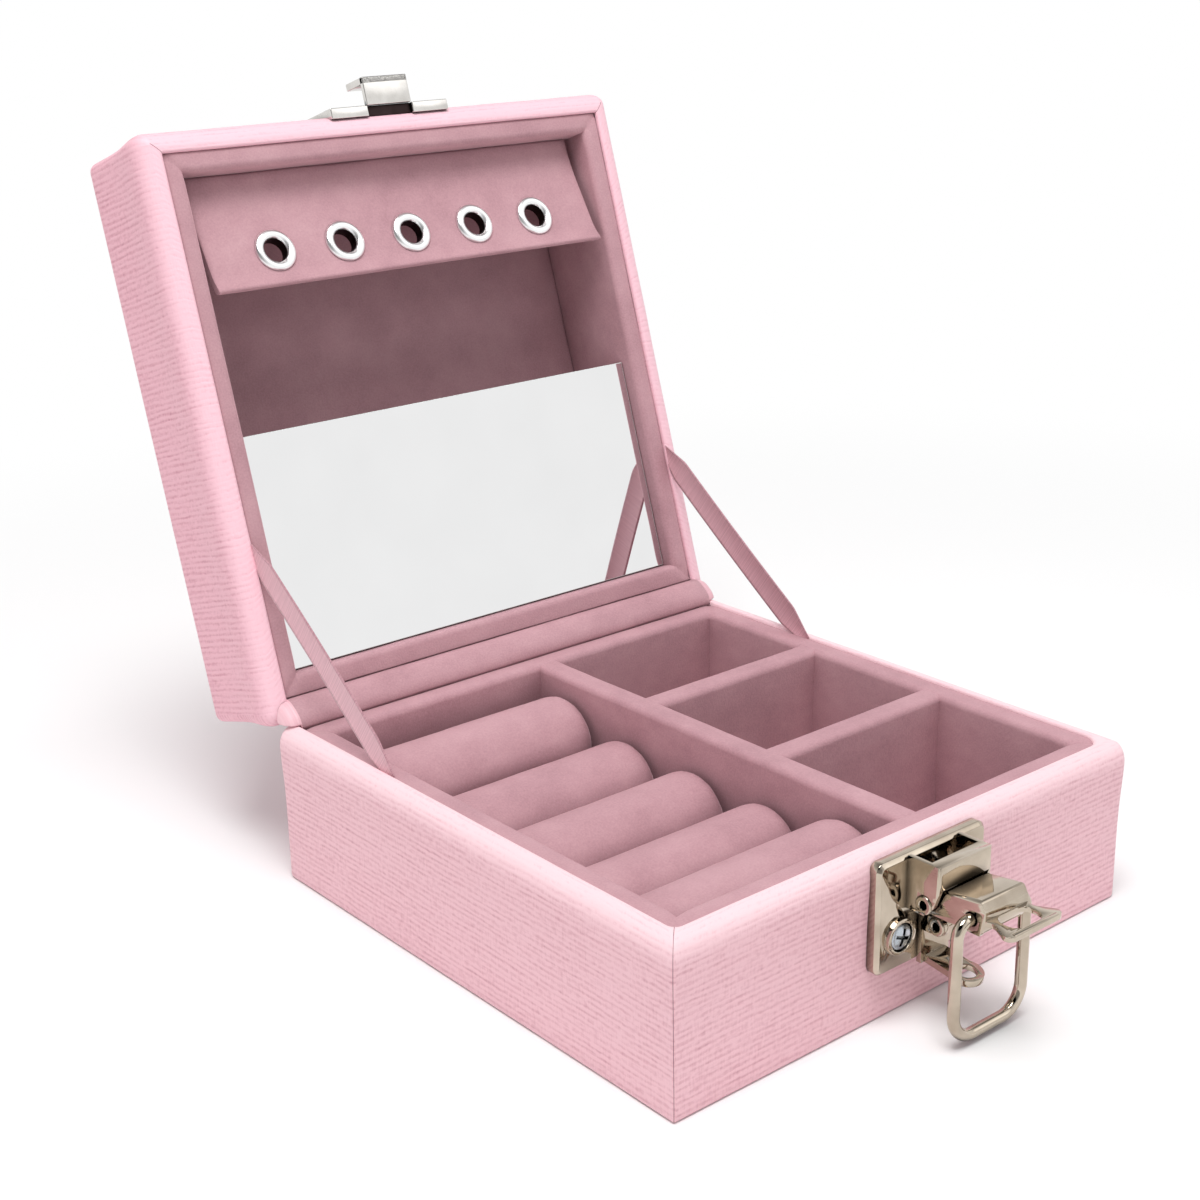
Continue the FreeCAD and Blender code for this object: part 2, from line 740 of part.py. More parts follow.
def padlock_eye():
    """Bracket on the plate: a back flange, two ears with a rivet, and the eye that drops outward."""
    near = plate_depth
    face = plate_depth + ear_sheet
    rivet_z = plate_top - ear_rivet_below_plate_top
    tab_z = plate_top - eye_tab_below_plate_top
    flange = block(-eye_flange_half, eye_flange_half, outward(face), outward(near),
                   tab_z - eye_sheet, rivet_z + ear_radius)
    ears = []
    rivet_holes = []
    for side in (-1, 1):
        x0 = min(side * eye_flange_half, side * (eye_flange_half - ear_sheet))
        x1 = x0 + ear_sheet
        rivet_y = outward(ear_rivet_out)
        ears.append(block(x0, x1, rivet_y, outward(near), rivet_z - ear_radius, rivet_z + ear_radius))
        ears.append(cross_bar(ear_radius, x0, x1, rivet_y, rivet_z))
        rivet_holes.append(cross_bar(pin_radius + rivet_gap, x0 - past, x1 + past, rivet_y, rivet_z))
    tab = block(-eye_tab_half, eye_tab_half, -eye_reach, ear_sheet / 2, -eye_sheet, 0)
    tab = tab.fuse(Part.makeCylinder(eye_ring_radius, eye_sheet, point(0, -eye_reach, -eye_sheet)))
    hole_depth = eye_sheet + 2 * past
    tab = tab.cut(Part.makeCylinder(eye_hole_radius, hole_depth, point(0, -eye_reach, -eye_sheet - past)))
    tab.rotate(point(0, 0, 0), X, eye_drop_angle)
    tab.translate(point(0, outward(face), tab_z))
    bracket = flange.fuse(ears + [tab]).removeSplitter()
    nodes["padlock_eye"] = bracket.cut(rivet_holes)
    nodes["eye_rivet"] = headed_rivet(eye_flange_half, ear_rivet_out, rivet_z, pin_radius, pin_head_radius,
                                      pin_head)


# Strike on the lid

def strike():
    """Plate with a hook whose throat takes the bail's bar when the lever is shut."""
    half = strike_width / 2
    face = outward(strike_depth)
    pan = block(-half, half, face, front_face, strike_z, strike_z + strike_height)
    pan = rounded(pan, strike_round, lambda e: runs_along(e, Y))
    pan = bevelled(pan, strike_edge_bevel, lambda e: lies_at(e, Y, face))
    lean = math.radians(latched_lean)
    bar_z = pin_z - bail_pivot_reach + bail_length * math.cos(lean)
    floor = bar_z - wire_radius - hook_clearance
    tip = floor + hook_depth
    inner = strike_depth + hook_throat
    outer = inner + hook_wall
    outline = [(0, strike_z), (outer, strike_z), (outer, tip), (inner, tip), (inner, floor), (0, floor)]
    hook = side_prism([(outward(out), z) for out, z in outline], -hook_half, hook_half)
    hook = rounded(hook, hook_edge_round, lambda e: runs_along(e, X) and lies_at(e, Y, outward(outer)))
    plate = pan.fuse(hook).cut(strike_holes)
    nodes["strike_plate"] = opened(plate)
    screws = [screw(side * strike_screw_x, strike_depth, strike_screw_z, strike_screw_radius)
              for side in (-1, 1)]
    nodes["strike_screws"] = opened(Part.makeCompound(screws))


base_shell()
lid_shell()
tray()
ring_rolls()
hinge_spine()
hinge_band()
stay_ribbons()
lid_interior()
mirror()
earring_flap()
back_plate()
hood()
lever()
bail_and_bush()
padlock_eye()
strike()

os.makedirs("parts", exist_ok=True)
for name, shape in nodes.items():
    shape.exportStep("parts/" + name + ".step")
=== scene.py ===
import json
from math import copysign, cos, dist, exp, hypot, pi, radians, sin, sqrt
from types import SimpleNamespace
import bmesh
import bpy
from mathutils import Matrix, Vector, noise


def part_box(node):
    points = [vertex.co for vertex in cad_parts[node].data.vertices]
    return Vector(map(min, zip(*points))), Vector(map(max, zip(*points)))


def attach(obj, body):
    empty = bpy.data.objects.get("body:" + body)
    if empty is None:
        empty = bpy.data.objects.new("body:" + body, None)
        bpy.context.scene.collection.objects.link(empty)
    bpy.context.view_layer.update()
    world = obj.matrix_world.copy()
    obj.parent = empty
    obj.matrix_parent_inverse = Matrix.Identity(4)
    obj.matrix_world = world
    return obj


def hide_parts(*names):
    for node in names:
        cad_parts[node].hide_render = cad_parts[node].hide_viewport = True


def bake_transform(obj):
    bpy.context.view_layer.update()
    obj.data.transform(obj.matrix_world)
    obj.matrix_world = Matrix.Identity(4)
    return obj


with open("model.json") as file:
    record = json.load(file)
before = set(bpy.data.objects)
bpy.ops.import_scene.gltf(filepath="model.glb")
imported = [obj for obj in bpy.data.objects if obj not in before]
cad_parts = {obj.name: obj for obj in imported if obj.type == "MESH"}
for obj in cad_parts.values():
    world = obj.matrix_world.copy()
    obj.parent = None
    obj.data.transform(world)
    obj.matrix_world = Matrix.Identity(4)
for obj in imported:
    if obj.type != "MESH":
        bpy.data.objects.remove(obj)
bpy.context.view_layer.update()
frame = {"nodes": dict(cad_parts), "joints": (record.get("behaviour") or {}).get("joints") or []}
noise.seed_set(1)
scene = bpy.context.scene

# Dressed model of the jewellery case. Sizes are in metres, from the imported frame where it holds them.
MM = 0.001

# Camera, as the photograph was taken
camera_place = (-0.2336, -0.2535, 0.1792)
camera_azimuth = 39.74
camera_lift = 19.15
camera_roll = -1.06
camera_lens = 58.58

# Leather
rim_roll_down = 4.4 * MM
rim_inner = 0.6 * MM
rim_over = 0.05 * MM
rim_tail = 2.1 * MM
lid_rim_tail = 0.9 * MM
lid_overlap = 0.4 * MM
lid_roll = 1.6 * MM
lid_top_hub = 2 * MM
base_foot = 0.4 * MM
base_bulge = 0.4 * MM
lid_bulge = 0.9 * MM
bulge_reach = 6 * MM
row_gap = 0.4 * MM
seam_depth = 0.12 * MM
seam_corner = 0.35 * MM
seam_half = 0.05 * MM
SEAM = 45
soft_corner = 1.9 * MM
inner_corner = 4.5 * MM
inner_seam = 2 * MM
leather_wave = 0.05 * MM
rib_pitch = 1.15 * MM

# Hinge and stay ribbons
spine_fold_gap = 0.3 * MM
spine_side_gap = 0.1 * MM
band_side_gap = 0.15 * MM
band_reach = 4.1 * MM
band_bulge = 3.3 * MM
band_thick = 1 * MM
band_tuck = 14
ribbon_width = 6 * MM
ribbon_edge = 0.5 * MM
ribbon_thick = 0.3 * MM
ribbon_anchor = 33 * MM
ribbon_tuck = 2.2 * MM
ribbon_bow = 0.35 * MM
ribbon_gather = 11 * MM

# Latch fittings
metal_edge = 0.12 * MM
screw_rise = 1.1 * MM
screw_shank = 1.2 * MM
plate_screw = 2.5 * MM
strike_screw = 2.2 * MM
rivet_shank = 1.1 * MM
rivet_bore = 0.8 * MM
rivet_head = 0.35 * MM
strike_thick = 2.2 * MM
strike_hook_half = 5.5 * MM
strike_hook_wall = 1.5 * MM
strike_hook_tall = 6.5 * MM
strike_ledge = 1.1 * MM
strike_window = 6 * MM
strike_recess = 0.8 * MM
strike_bevel = 0.22 * MM
bail_shoulder = 2.6 * MM
bail_corner = 5 * MM
bail_grip = 2.2 * MM

# Velvet
pad_crown = 1.4 * MM
pad_back_roll = 0.4 * MM
lid_back_roll = 1.3 * MM
divider_roll = 1.3 * MM
pad_swell = 0.3 * MM
lid_pad_swell = 0.15 * MM
pad_pucker = 0.3 * MM
pucker_reach = 1.3 * MM
pucker_depth = 4 * MM
panel_crown = 0.1 * MM
velvet_wave = 0.07 * MM

# Ring rolls, and their covers as simulated cloth
roll_slack = 0.3 * MM
roll_swell = 0.45 * MM
roll_end = 2.4 * MM
roll_foot = 2.5 * MM
cover_scale = 10
cover_cell = 1.1 * MM
cover_pressure = 4
cover_moments = 20

# Earring flap and mirror
flap_lean = 14.5
flap_thick = 2 * MM
flap_edge = 0.8 * MM
flap_end = 0.25 * MM
flap_hole = 3.2 * MM
eyelet_bore = 2.5 * MM
eyelet_skin = 0.5 * MM
eyelet_face = 1.02 * MM
mirror_bevel = 0.15 * MM

# Boards, floor and light
board_edge = 0.9 * MM
floor_half = 12
floor_drop = 0.05 * MM
floor_fade = (0.16, 0.42)
sky_level = 0.58

# Colours, as they look on a screen
PINK_DEEP = (0.805, 0.58, 0.63)
PINK = (0.885, 0.68, 0.721)
PINK_PALE = (0.945, 0.765, 0.798)
# Painted highlight on the leather rims' roll:
PINK_HIGHLIGHT = (0.985, 0.848, 0.872)
# Painted shade in the leather seams' grooves:
PINK_SEAM_SHADE = (0.56, 0.39, 0.43)
ROSE_DEEP = (0.66, 0.502, 0.532)
ROSE = (0.755, 0.588, 0.618)
ROSE_PALE = (0.82, 0.66, 0.685)
WHITE = (1, 1, 1)


# Places read from the frame

joints = {joint["name"]: joint for joint in frame["joints"]}
hinge = Vector(joints["lid_hinge"]["pos_m"])
lid_open = -joints["lid_hinge"]["range_deg"][0]
LID = (Matrix.Translation(hinge)
       @ Matrix.Rotation(radians(lid_open), 4, Vector(joints["lid_hinge"]["axis"]))
       @ Matrix.Translation(-hinge))


def local_box(node, space=LID):
    """Lowest and highest corner of a node in the space of the shut lid, or in another one."""
    back = space.inverted()
    points = [back @ v.co for v in frame["nodes"][node].data.vertices]
    return [Vector([pick(p[axis] for p in points) for axis in range(3)]) for pick in (min, max)]


# Small tools for shapes

def srgb(colour):
    """Linear colour with alpha from the colour as it looks on a screen."""
    return tuple(c / 12.92 if c <= 0.04045 else ((c + 0.055) / 1.055) ** 2.4 for c in colour) + (1,)


def spread(low, high, count):
    return [low + (high - low) * i / (count - 1) for i in range(count)]


def arc(centre, radius, start, end, count):
    """Points on an arc, with angles in degrees."""
    turns = [radians(a) for a in spread(start, end, count)]
    return [(centre[0] + radius * cos(t), centre[1] + radius * sin(t)) for t in turns]


def wavy(point, amount, size=12 * MM):
    """The point moved by a small smooth noise, so that soft faces aren't flat."""
    return point + noise.noise_vector(point / size) * amount


def put(target, **settings):
    """Gives the target these settings, one after the other."""
    for name, value in settings.items():
        setattr(target, name, value)
    return target


def add_object(name, data):
    made = bpy.data.objects.new(name, data)
    scene.collection.objects.link(made)
    return made


def skin(piece, material):
    piece.data.materials.clear()
    piece.data.materials.append(material)
    piece.data.shade_smooth()


def make_piece(name, verts, faces, material, place=None):
    mesh = bpy.data.meshes.new(name)
    mesh.from_pydata([tuple(v) for v in verts], [], faces)
    mesh.update()
    piece = add_object(name, mesh)
    skin(piece, material)
    piece.matrix_world = place or Matrix()
    return piece


def from_bmesh(name, bm):
    mesh = bpy.data.meshes.new(name)
    bm.to_mesh(mesh)
    bm.free()
    return add_object(name, mesh)


def settle(piece, body, node):
    """Puts a piece on its body and in place of its CAD node."""
    if body:
        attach(piece, body)
    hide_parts(node)


def grid_faces(rows, columns, closed):
    """Quads between rows of points, with the columns joined into a loop if closed."""
    faces = []
    for i in range(rows - 1):
        for j in range(columns if closed else columns - 1):
            after = (j + 1) % columns
            faces.append((i * columns + j, i * columns + after, (i + 1) * columns + after, (i + 1) * columns + j))
    return faces


def tube_faces(rows, columns):
    """Quads round a tube of points, with a flat face at each end."""
    last = (rows - 1) * columns
    return grid_faces(rows, columns, True) + [tuple(reversed(range(columns))), tuple(range(last, last + columns))]


def lathe(profile, segments, ring):
    """Points and faces of a (radius, height) profile turned about Z, as a ring or with flat ends."""
    turns = [2 * pi * k / segments for k in range(segments)]
    verts = [Vector((radius * cos(turn), radius * sin(turn), height)) for radius, height in profile for turn in turns]
    if ring:
        return verts, [tuple(v % len(verts) for v in f) for f in grid_faces(len(profile) + 1, segments, True)]
    return verts, tube_faces(len(profile), segments)


def bevelled_box(low, high, width, segments):
    """A box between two corners, with all its edges bevelled."""
    bm = bmesh.new()
    at = Matrix.Translation((low + high) / 2) @ Matrix.Diagonal((*(high - low), 1))
    bmesh.ops.create_cube(bm, size=1, matrix=at)
    bmesh.ops.bevel(bm, geom=bm.edges[:], offset=width, segments=segments, affect="EDGES", profile=0.5)
    return bm


def face_outward(piece):
    """Turns every face of a closed piece outward."""
    bm = bmesh.new()
    bm.from_mesh(piece.data)
    bmesh.ops.recalc_face_normals(bm, faces=bm.faces)
    bm.to_mesh(piece.data)
    bm.free()


def apply_modifiers(piece):
    bpy.context.view_layer.update()
    shown = piece.evaluated_get(bpy.context.evaluated_depsgraph_get())
    mesh = bpy.data.meshes.new_from_object(shown)
    piece.modifiers.clear()
    piece.data = mesh


def cut_out(piece, cutter, several=False):
    """Cuts the cutter out of a piece and removes it; several says that the piece is more than one solid."""
    put(piece.modifiers.new("cut", "BOOLEAN"), object=cutter, solver="EXACT", use_self=several)
    apply_modifiers(piece)
    bpy.data.objects.remove(cutter)


def sharpen(piece, degrees=30):
    """Smooth shading that breaks at edges sharper than the angle."""
    piece.data.set_sharp_from_angle(angle=radians(degrees))


# Materials

class Nodes:
    """Short ways to add nodes to a material or a world."""

    def __init__(self, owner):
        owner.use_nodes = True
        self.tree = owner.node_tree

    def feed(self, socket, value):
        if isinstance(value, bpy.types.NodeSocket):
            self.tree.links.new(value, socket)
        else:
            socket.default_value = value

    def node(self, kind, inputs=(), out=0, **settings):
        """One output of a new node; inputs go by name, by number or in order."""
        made = put(self.tree.nodes.new("ShaderNode" + kind), **settings)
        for key, value in inputs.items() if isinstance(inputs, dict) else enumerate(inputs):
            self.feed(made.inputs[key], value)
        return made.outputs[out]

    def math(self, operation, first, second=0, third=0):
        return self.node("Math", (first, second, third), operation=operation)

    def add(self, first, first_weight, second, second_weight):
        """Weighted sum of two values."""
        return self.math("MULTIPLY_ADD", first, first_weight, self.math("MULTIPLY", second, second_weight))

    def ramp(self, factor, *stops):
        colour = self.node("ValToRGB", (factor,))
        elements = colour.node.color_ramp.elements
        while len(elements) < len(stops):
            elements.new(0.5)
        for element, (place, tone) in zip(elements, stops):
            put(element, position=place, color=srgb(tone))
        return colour

    def spread(self, factor, low, high, start=0, end=1, **settings):
        """A value from start to end mapped to a range."""
        return self.node("MapRange", (factor, start, end, low, high), **settings)

    def ray(self, kind):
        return self.node("LightPath", (), "Is " + kind + " Ray")


class Shader(Nodes):
    """A node material with a Principled BSDF."""

    def __init__(self, name):
        self.material = bpy.data.materials.new(name)
        super().__init__(self.material)
        self.bsdf = self.tree.nodes["Principled BSDF"]

    def surface(self, **inputs):
        for key, value in inputs.items():
            self.feed(self.bsdf.inputs[key.replace("_", " ")], value)
        return self.material

    def coordinates(self, kind, scale):
        return self.node("Mapping", {"Vector": self.node("TexCoord", (), kind), "Scale": scale})

    def grain(self, scale, detail=2, rough=0.5, kind="Object"):
        inputs = {"Vector": self.coordinates(kind, scale), "Scale": 1, "Detail": detail, "Roughness": rough}
        return self.node("TexNoise", inputs)

    def mix(self, factor, first, second, blend="MIX"):
        return self.node("Mix", {0: factor, 6: first, 7: second}, 2, data_type="RGBA", blend_type=blend)

    def shaded(self, colour, distance, samples, *stops):
        """The colour, darker where other surfaces stand close."""
        open_air = self.node("AmbientOcclusion", {"Distance": distance}, "AO", samples=samples)
        return self.mix(1, colour, self.ramp(open_air, *stops), "MULTIPLY")

    def bump(self, height, strength, distance):
        return self.node("Bump", {"Height": height, "Strength": strength, "Distance": distance})


def tinted(tint, *stops):
    return [(place, tuple(c * t for c, t in zip(colour, tint))) for place, colour in stops]


def leather_material(name, tint, press):
    """Pale pink leather pressed with fine ribs, on a map along and across them; painted highlight on the rims' roll."""
    made = Shader(name)
    scales = ((60, 260, 1), (90, 620, 1), (260, 2300, 1), (900, 1500, 1), (40, 40, 1))
    drift, depth, streaks, pebbles, patches = [made.grain(scale, kind="UV") for scale in scales]
    threads = made.grain((2500, 420, 1), 1, kind="UV")
    rim_highlight = made.node("Attribute", (), "Fac", attribute_name="rim_highlight")
    across = made.node("SeparateXYZ", (made.coordinates("UV", (1, 2 * pi / rib_pitch, 1)),), "Y")
    wave = made.math("SINE", made.add(across, 1, drift, 7))
    ribs = made.math("MULTIPLY", wave, made.spread(depth, -0.1 * press, 0.36 * press))
    height = made.add(made.add(ribs, 1, streaks, 0.45), 1, made.add(threads, 0.4, pebbles, 0.6), 1)
    tone = made.add(height, 1, patches, 0.3)
    plain = made.ramp(tone, *tinted(tint, (0.42, PINK_DEEP), (0.68, PINK), (0.95, PINK_PALE)))
    # Paler ramp for the painted highlight on the rims' roll
    highlight = made.ramp(tone, *tinted(tint, (0.42, PINK_PALE), (0.8, PINK_HIGHLIGHT)))
    return made.surface(
        Base_Color=made.mix(rim_highlight, plain, highlight), Roughness=made.spread(height, 0.62, 0.42),
        Specular_IOR_Level=0.5, Normal=made.bump(height, 0.6, 0.16 * MM))


def velvet_material(name, depth):
    """Dusty rose velvet with brushed patches and painted shade where pads meet; a smaller depth paints it darker."""
    made = Shader(name)
    nap = made.grain((2600, 2600, 2600))
    brushed = made.grain((120, 120, 190), 3, 0.6)
    patches = made.grain((38, 38, 38))
    tone = made.add(made.add(nap, 0.4, brushed, 0.45), 1, patches, 0.35)
    colour = made.ramp(tone, *tinted((depth, depth, depth), (0.3, ROSE_DEEP), (0.6, ROSE), (0.9, ROSE_PALE)))
    # Painted shade: ambient occlusion darkens the colour in corners and where surfaces stand close
    return made.surface(
        Base_Color=made.shaded(colour, 9 * MM, 6, (0.15, (0.74, 0.71, 0.72)), (0.75, WHITE)),
        Roughness=made.spread(nap, 0.85, 1), Specular_IOR_Level=0.15, Sheen_Weight=0.7, Sheen_Roughness=0.45,
        Sheen_Tint=srgb((0.96, 0.8, 0.83)), Normal=made.bump(nap, 0.4, 0.12 * MM))


def ribbon_material():
    """Satin ribbon with cross threads and a darker woven edge, on a map across and along it."""
    made = Shader("satin_ribbon")
    threads = made.grain((60, 3800, 1), 1, kind="UV")
    across = made.node("SeparateXYZ", (made.node("TexCoord", (), "UV"),), "X")
    edge = made.spread(made.math("ABSOLUTE", across), 0, 1, 2.3 * MM, 2.7 * MM)
    body = made.ramp(threads, (0.3, (0.8, 0.6, 0.64)), (0.7, (0.9, 0.71, 0.745)))
    dark = made.ramp(threads, (0.3, (0.66, 0.47, 0.51)), (0.7, (0.8, 0.6, 0.64)))
    return made.surface(
        Base_Color=made.mix(edge, body, dark), Roughness=made.spread(threads, 0.42, 0.6), Sheen_Weight=0.3,
        Normal=made.bump(threads, 0.3, 0.08 * MM))


def plated_material(name, dark, light, smooth, rough):
    """Plated metal with faint smears, fine polishing lines and painted shade in its narrow gaps."""
    made = Shader(name)
    smears = made.grain((140, 140, 140), 3, 0.6)
    lines = made.grain((300, 300, 4200))
    plate = made.ramp(smears, (0.3, dark), (0.7, light))
    # Painted shade: ambient occlusion darkens the plate nearly to black in narrow gaps
    return made.surface(
        Base_Color=made.shaded(plate, 5 * MM, 8, (0.25, (0.12, 0.1, 0.09)), (0.75, WHITE)), Metallic=1,
        Roughness=made.spread(smears, smooth, rough), Normal=made.bump(lines, 0.04, 0.02 * MM))


def cloth_material():
    """Plain woven backing cloth under the base."""
    made = Shader("backing_cloth")
    weave = made.math("MULTIPLY", *[made.grain(scale, 1) for scale in ((2400, 300, 300), (300, 2400, 300))])
    return made.surface(
        Base_Color=made.ramp(weave, (0.1, (0.74, 0.55, 0.6)), (0.5, (0.9, 0.74, 0.78))),
        Roughness=made.spread(weave, 0.8, 1), Normal=made.bump(weave, 0.4, 0.12 * MM))


def grained_material(name, scale, stops, rough, detail=2, fine=0.5, bump=None, **more):
    """A surface with one grain through its colour and roughness, and its relief where a bump is given."""
    made = Shader(name)
    grain = made.grain(scale, detail, fine)
    if bump:
        more["Normal"] = made.bump(grain, *bump)
    return made.surface(Base_Color=made.ramp(grain, *stops), Roughness=made.spread(grain, *rough), **more)


leather = leather_material("pink_leather", WHITE, 1)
lid_leather = leather_material("pink_lid_leather", (1, 0.945, 0.97), 1.1)
seam_shade = grained_material("leather_seam_shade", (900, 900, 900),
                          ((0.2, PINK_SEAM_SHADE), (0.8, tuple(1.15 * c for c in PINK_SEAM_SHADE))), (0.8, 0.95))
velvet = velvet_material("rose_velvet", 1)
# A darker copy of the velvet, painted shade for the recessed lid lining panel; the tray floor uses it too
shaded_velvet = velvet_material("rose_velvet_shaded", 0.93)
ribbon = ribbon_material()
nickel = plated_material("nickel_plate", (0.69, 0.637, 0.572), (0.785, 0.737, 0.672), 0.05, 0.11)
bright = plated_material("eyelet_plate", (0.94, 0.94, 0.94), (0.985, 0.985, 0.985), 0.22, 0.36)
# Dark plate painted as shade in the eyelets' bores and in the strike's recess
shade_plate = plated_material("eyelet_bore", (0.16, 0.12, 0.12), (0.27, 0.22, 0.22), 0.4, 0.6)
steel = plated_material("screw_steel", (0.62, 0.65, 0.68), (0.76, 0.79, 0.82), 0.18, 0.32)
strike_metal = plated_material("strike_nickel", (0.8, 0.785, 0.765), (0.9, 0.89, 0.875), 0.1, 0.2)
mirror_face = grained_material("mirror_face", (60, 60, 60),
                               ((0.2, (0.915, 0.915, 0.916)), (0.8, (0.93, 0.93, 0.931))), (0.01, 0.03), Metallic=1)
glass_edge = grained_material("glass_edge", (3000, 3000, 3000),
                              ((0.3, (0.8, 0.83, 0.82)), (0.7, (0.92, 0.94, 0.93))), (0.15, 0.4))
board = grained_material("pink_board", (900, 900, 2400), ((0.3, (0.7, 0.52, 0.56)), (0.7, (0.82, 0.63, 0.67))),
                         (0.8, 0.95), 4, 0.65, (0.2, 0.1 * MM))
cloth = cloth_material()


# Leather shells

base_low, base_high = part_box("base_leather_wrap")
lid_low, lid_high = local_box("lid_leather_wrap")
tray_low = Vector((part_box("tray_left_lining")[0].x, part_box("tray_front_lining")[0].y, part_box("tray_floor_pad")[1].z))
tray_high = Vector((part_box("tray_right_lining")[1].x, *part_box("tray_back_lining")[1].yz))
wall = base_high.x - tray_high.x
spine_leaf = hinge.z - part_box("hinge_spine")[0].z


def ring_columns():
    """Columns of points round a case: (side, edge or corner, place or turn)."""
    along = sorted(spread(-1, 1, 41) + [-0.994, 0.994])
    seat = tray_high.x / (base_high.x - soft_corner)
    back = sorted(along + [-seat, seat, -seat + 1e-4, seat - 1e-4])
    turns = [11.25, 22.5, 33.75, SEAM - 1, SEAM, SEAM + 1, 56.25, 67.5, 78.75]
    columns = []
    for side, places in (("front", along), ("right", along), ("back", back), ("left", along)):
        columns += [(side, "edge", place) for place in places]
        columns += [(side, "corner", turn) for turn in turns]
    return columns


COLUMNS = ring_columns()
SIDES = ["front", "right", "back", "left"]


def corner_radius(side, shell, inset):
    """Radius of the corner after a side: smaller inward, or growing to that of the lining."""
    outer = shell.near if side == "left" else soft_corner
    radius = max(outer - inset, seam_corner)
    if side in shell.inner and inset > wall / 2:
        radius += (shell.inner[side] - radius) * min(2 * inset / wall - 1, 1)
    return radius


def ring_point(column, shell, inset):
    """(x, y) of a column on a case's outline, moved in by the inset."""
    side, kind, place = column
    quarter = SIDES.index(side)
    before = SIDES[quarter - 1]
    run, out = (shell.y, shell.x) if quarter % 2 else (shell.x, shell.y)
    radius = corner_radius(side, shell, inset)
    if kind == "edge":
        start = -run + inset + corner_radius(before, shell, inset)
        end = run - inset - radius
        local = (start + (end - start) * (place + 1) / 2, -out + inset)
    else:
        turn = radians(place - 90)
        if abs(place - SEAM) == 1:
            turn = radians(SEAM - 90) + (place - SEAM) * min(seam_half / radius, 0.17)
        local = (run - inset - radius + radius * cos(turn), -out + inset + radius + radius * sin(turn))
    c, s = cos(radians(90 * quarter)), sin(radians(90 * quarter))
    return local[0] * c - local[1] * s, local[0] * s + local[1] * c


def is_seam(column, shell, row):
    """The mitre of a rim's corner, and all of the near corner where the seam is there."""
    side, kind, place = column
    inset, height = row
    if kind != "corner" or place != SEAM:
        return False
    if side in shell.inner:
        return side == "left"
    return inset > soft_corner - seam_corner and abs(height - shell.edge) < rim_roll_down


def lengths(points):
    """Distance from the first point to each point along a line of points."""
    run = [0]
    for here, before in zip(points[1:], points):
        run.append(run[-1] + dist(here, before))
    return run


def wrap_shell(name, rows, shell, seat_limit, place):
    """Leather pulled round a case: rows are (inset, height) from one edge to the other."""
    count = len(COLUMNS)
    verts = []
    for inset, height in rows:
        for column in COLUMNS:
            groove = seam_depth if is_seam(column, shell, (inset, height)) else 0
            x, y = ring_point(column, shell, inset + groove)
            seated = column[0] == "back" and column[1] == "edge" and abs(x) < tray_high.x
            z = seat_limit(height) if seated else height
            z -= groove * shell.way if inset > 0 else 0
            verts.append(wavy(Vector((x, y, z)), leather_wave))
    faces = grid_faces(len(rows), count, True)
    if shell.closed:
        faces.append(tuple(range((len(rows) - 1) * count, len(rows) * count)))
    piece = make_piece(name, verts, faces, shell.skin, place)
    piece.data.materials.append(seam_shade)
    # Painted highlight: points over the rim's roll get a weight that mixes in the paler leather
    rim_highlight = piece.data.attributes.new("rim_highlight", "FLOAT", "POINT").data
    for index in range(len(rows) * count):
        depth = (shell.edge - rows[index // count][1]) * shell.way
        rim_highlight[index].value = max(0, min(1, 1.25 - depth / rim_roll_down)) ** 1.5
    run = lengths([ring_point(column, shell, 0) for column in COLUMNS + COLUMNS[:1]])
    rise = lengths(rows)
    chart = piece.data.uv_layers.new(name="ribs").data
    for number, face in enumerate(piece.data.polygons):
        column = number % count
        flat = shell.closed and all(rows[v // count][0] > wall for v in face.vertices)
        # Painted shade: the seam's groove faces get the darker leather
        if any(is_seam(COLUMNS[v % count], shell, rows[v // count]) for v in face.vertices):
            face.material_index = 1
        for corner in face.loop_indices:
            vertex = piece.data.loops[corner].vertex_index
            i, j = divmod(vertex, count)
            along = run[column + (j != column)]
            if flat and rows[i][1] > shell.flat_above:
                chart[corner].uv = piece.data.vertices[vertex].co.xy
            elif shell.closed and COLUMNS[column][0] in ("left", "right"):
                chart[corner].uv = (rise[i], along)
            else:
                chart[corner].uv = (along, rise[i])
    return piece


def rim_profile(edge, way, bulge, overlap):
    """Section of a rim from its outer face over the roll inward: (inset, height); way is 1 upward."""
    inner = wall + overlap + rim_over - rim_inner
    rows = [(inner + (inner + bulge) * cos(t), edge - way * rim_roll_down * (1 - sin(t)))
            for t in [radians(a) for a in spread(180, 90, 16)]]
    rows += [(inner + d, edge - way * (rim_inner - h)) for d, h in arc((0, 0), rim_inner, 75, 0, 4)]
    return rows + [(inner + rim_inner, edge - way * (lid_rim_tail if overlap else rim_tail))]


def wall_rows(edge, way, bulge, end, count):
    """Rows of the outer face from a rim's roll to its other end, swelling towards the roll."""
    start = edge - way * (rim_roll_down + row_gap)
    return [(-bulge * exp(-((z - start) / bulge_reach) ** 2), z) for z in spread(start, end, count)]


def base_wrap():
    top, low, foot = base_high.z, base_low.z, base_foot
    rows = [(wall / 2, low), (foot, low), (foot * 0.3, low + foot * 0.3)]
    rows += list(reversed(wall_rows(top, 1, base_bulge, low + foot, 13)))
    rows += rim_profile(top, 1, base_bulge, 0)
    shell = SimpleNamespace(x=base_high.x, y=base_high.y, near=seam_corner, closed=False, skin=leather, edge=top, way=1,
                            inner={"front": inner_corner, "left": inner_seam})
    piece = wrap_shell("base_leather", rows, shell, lambda z: min(z, top - spine_leaf), None)
    settle(piece, "base", "base_leather_wrap")


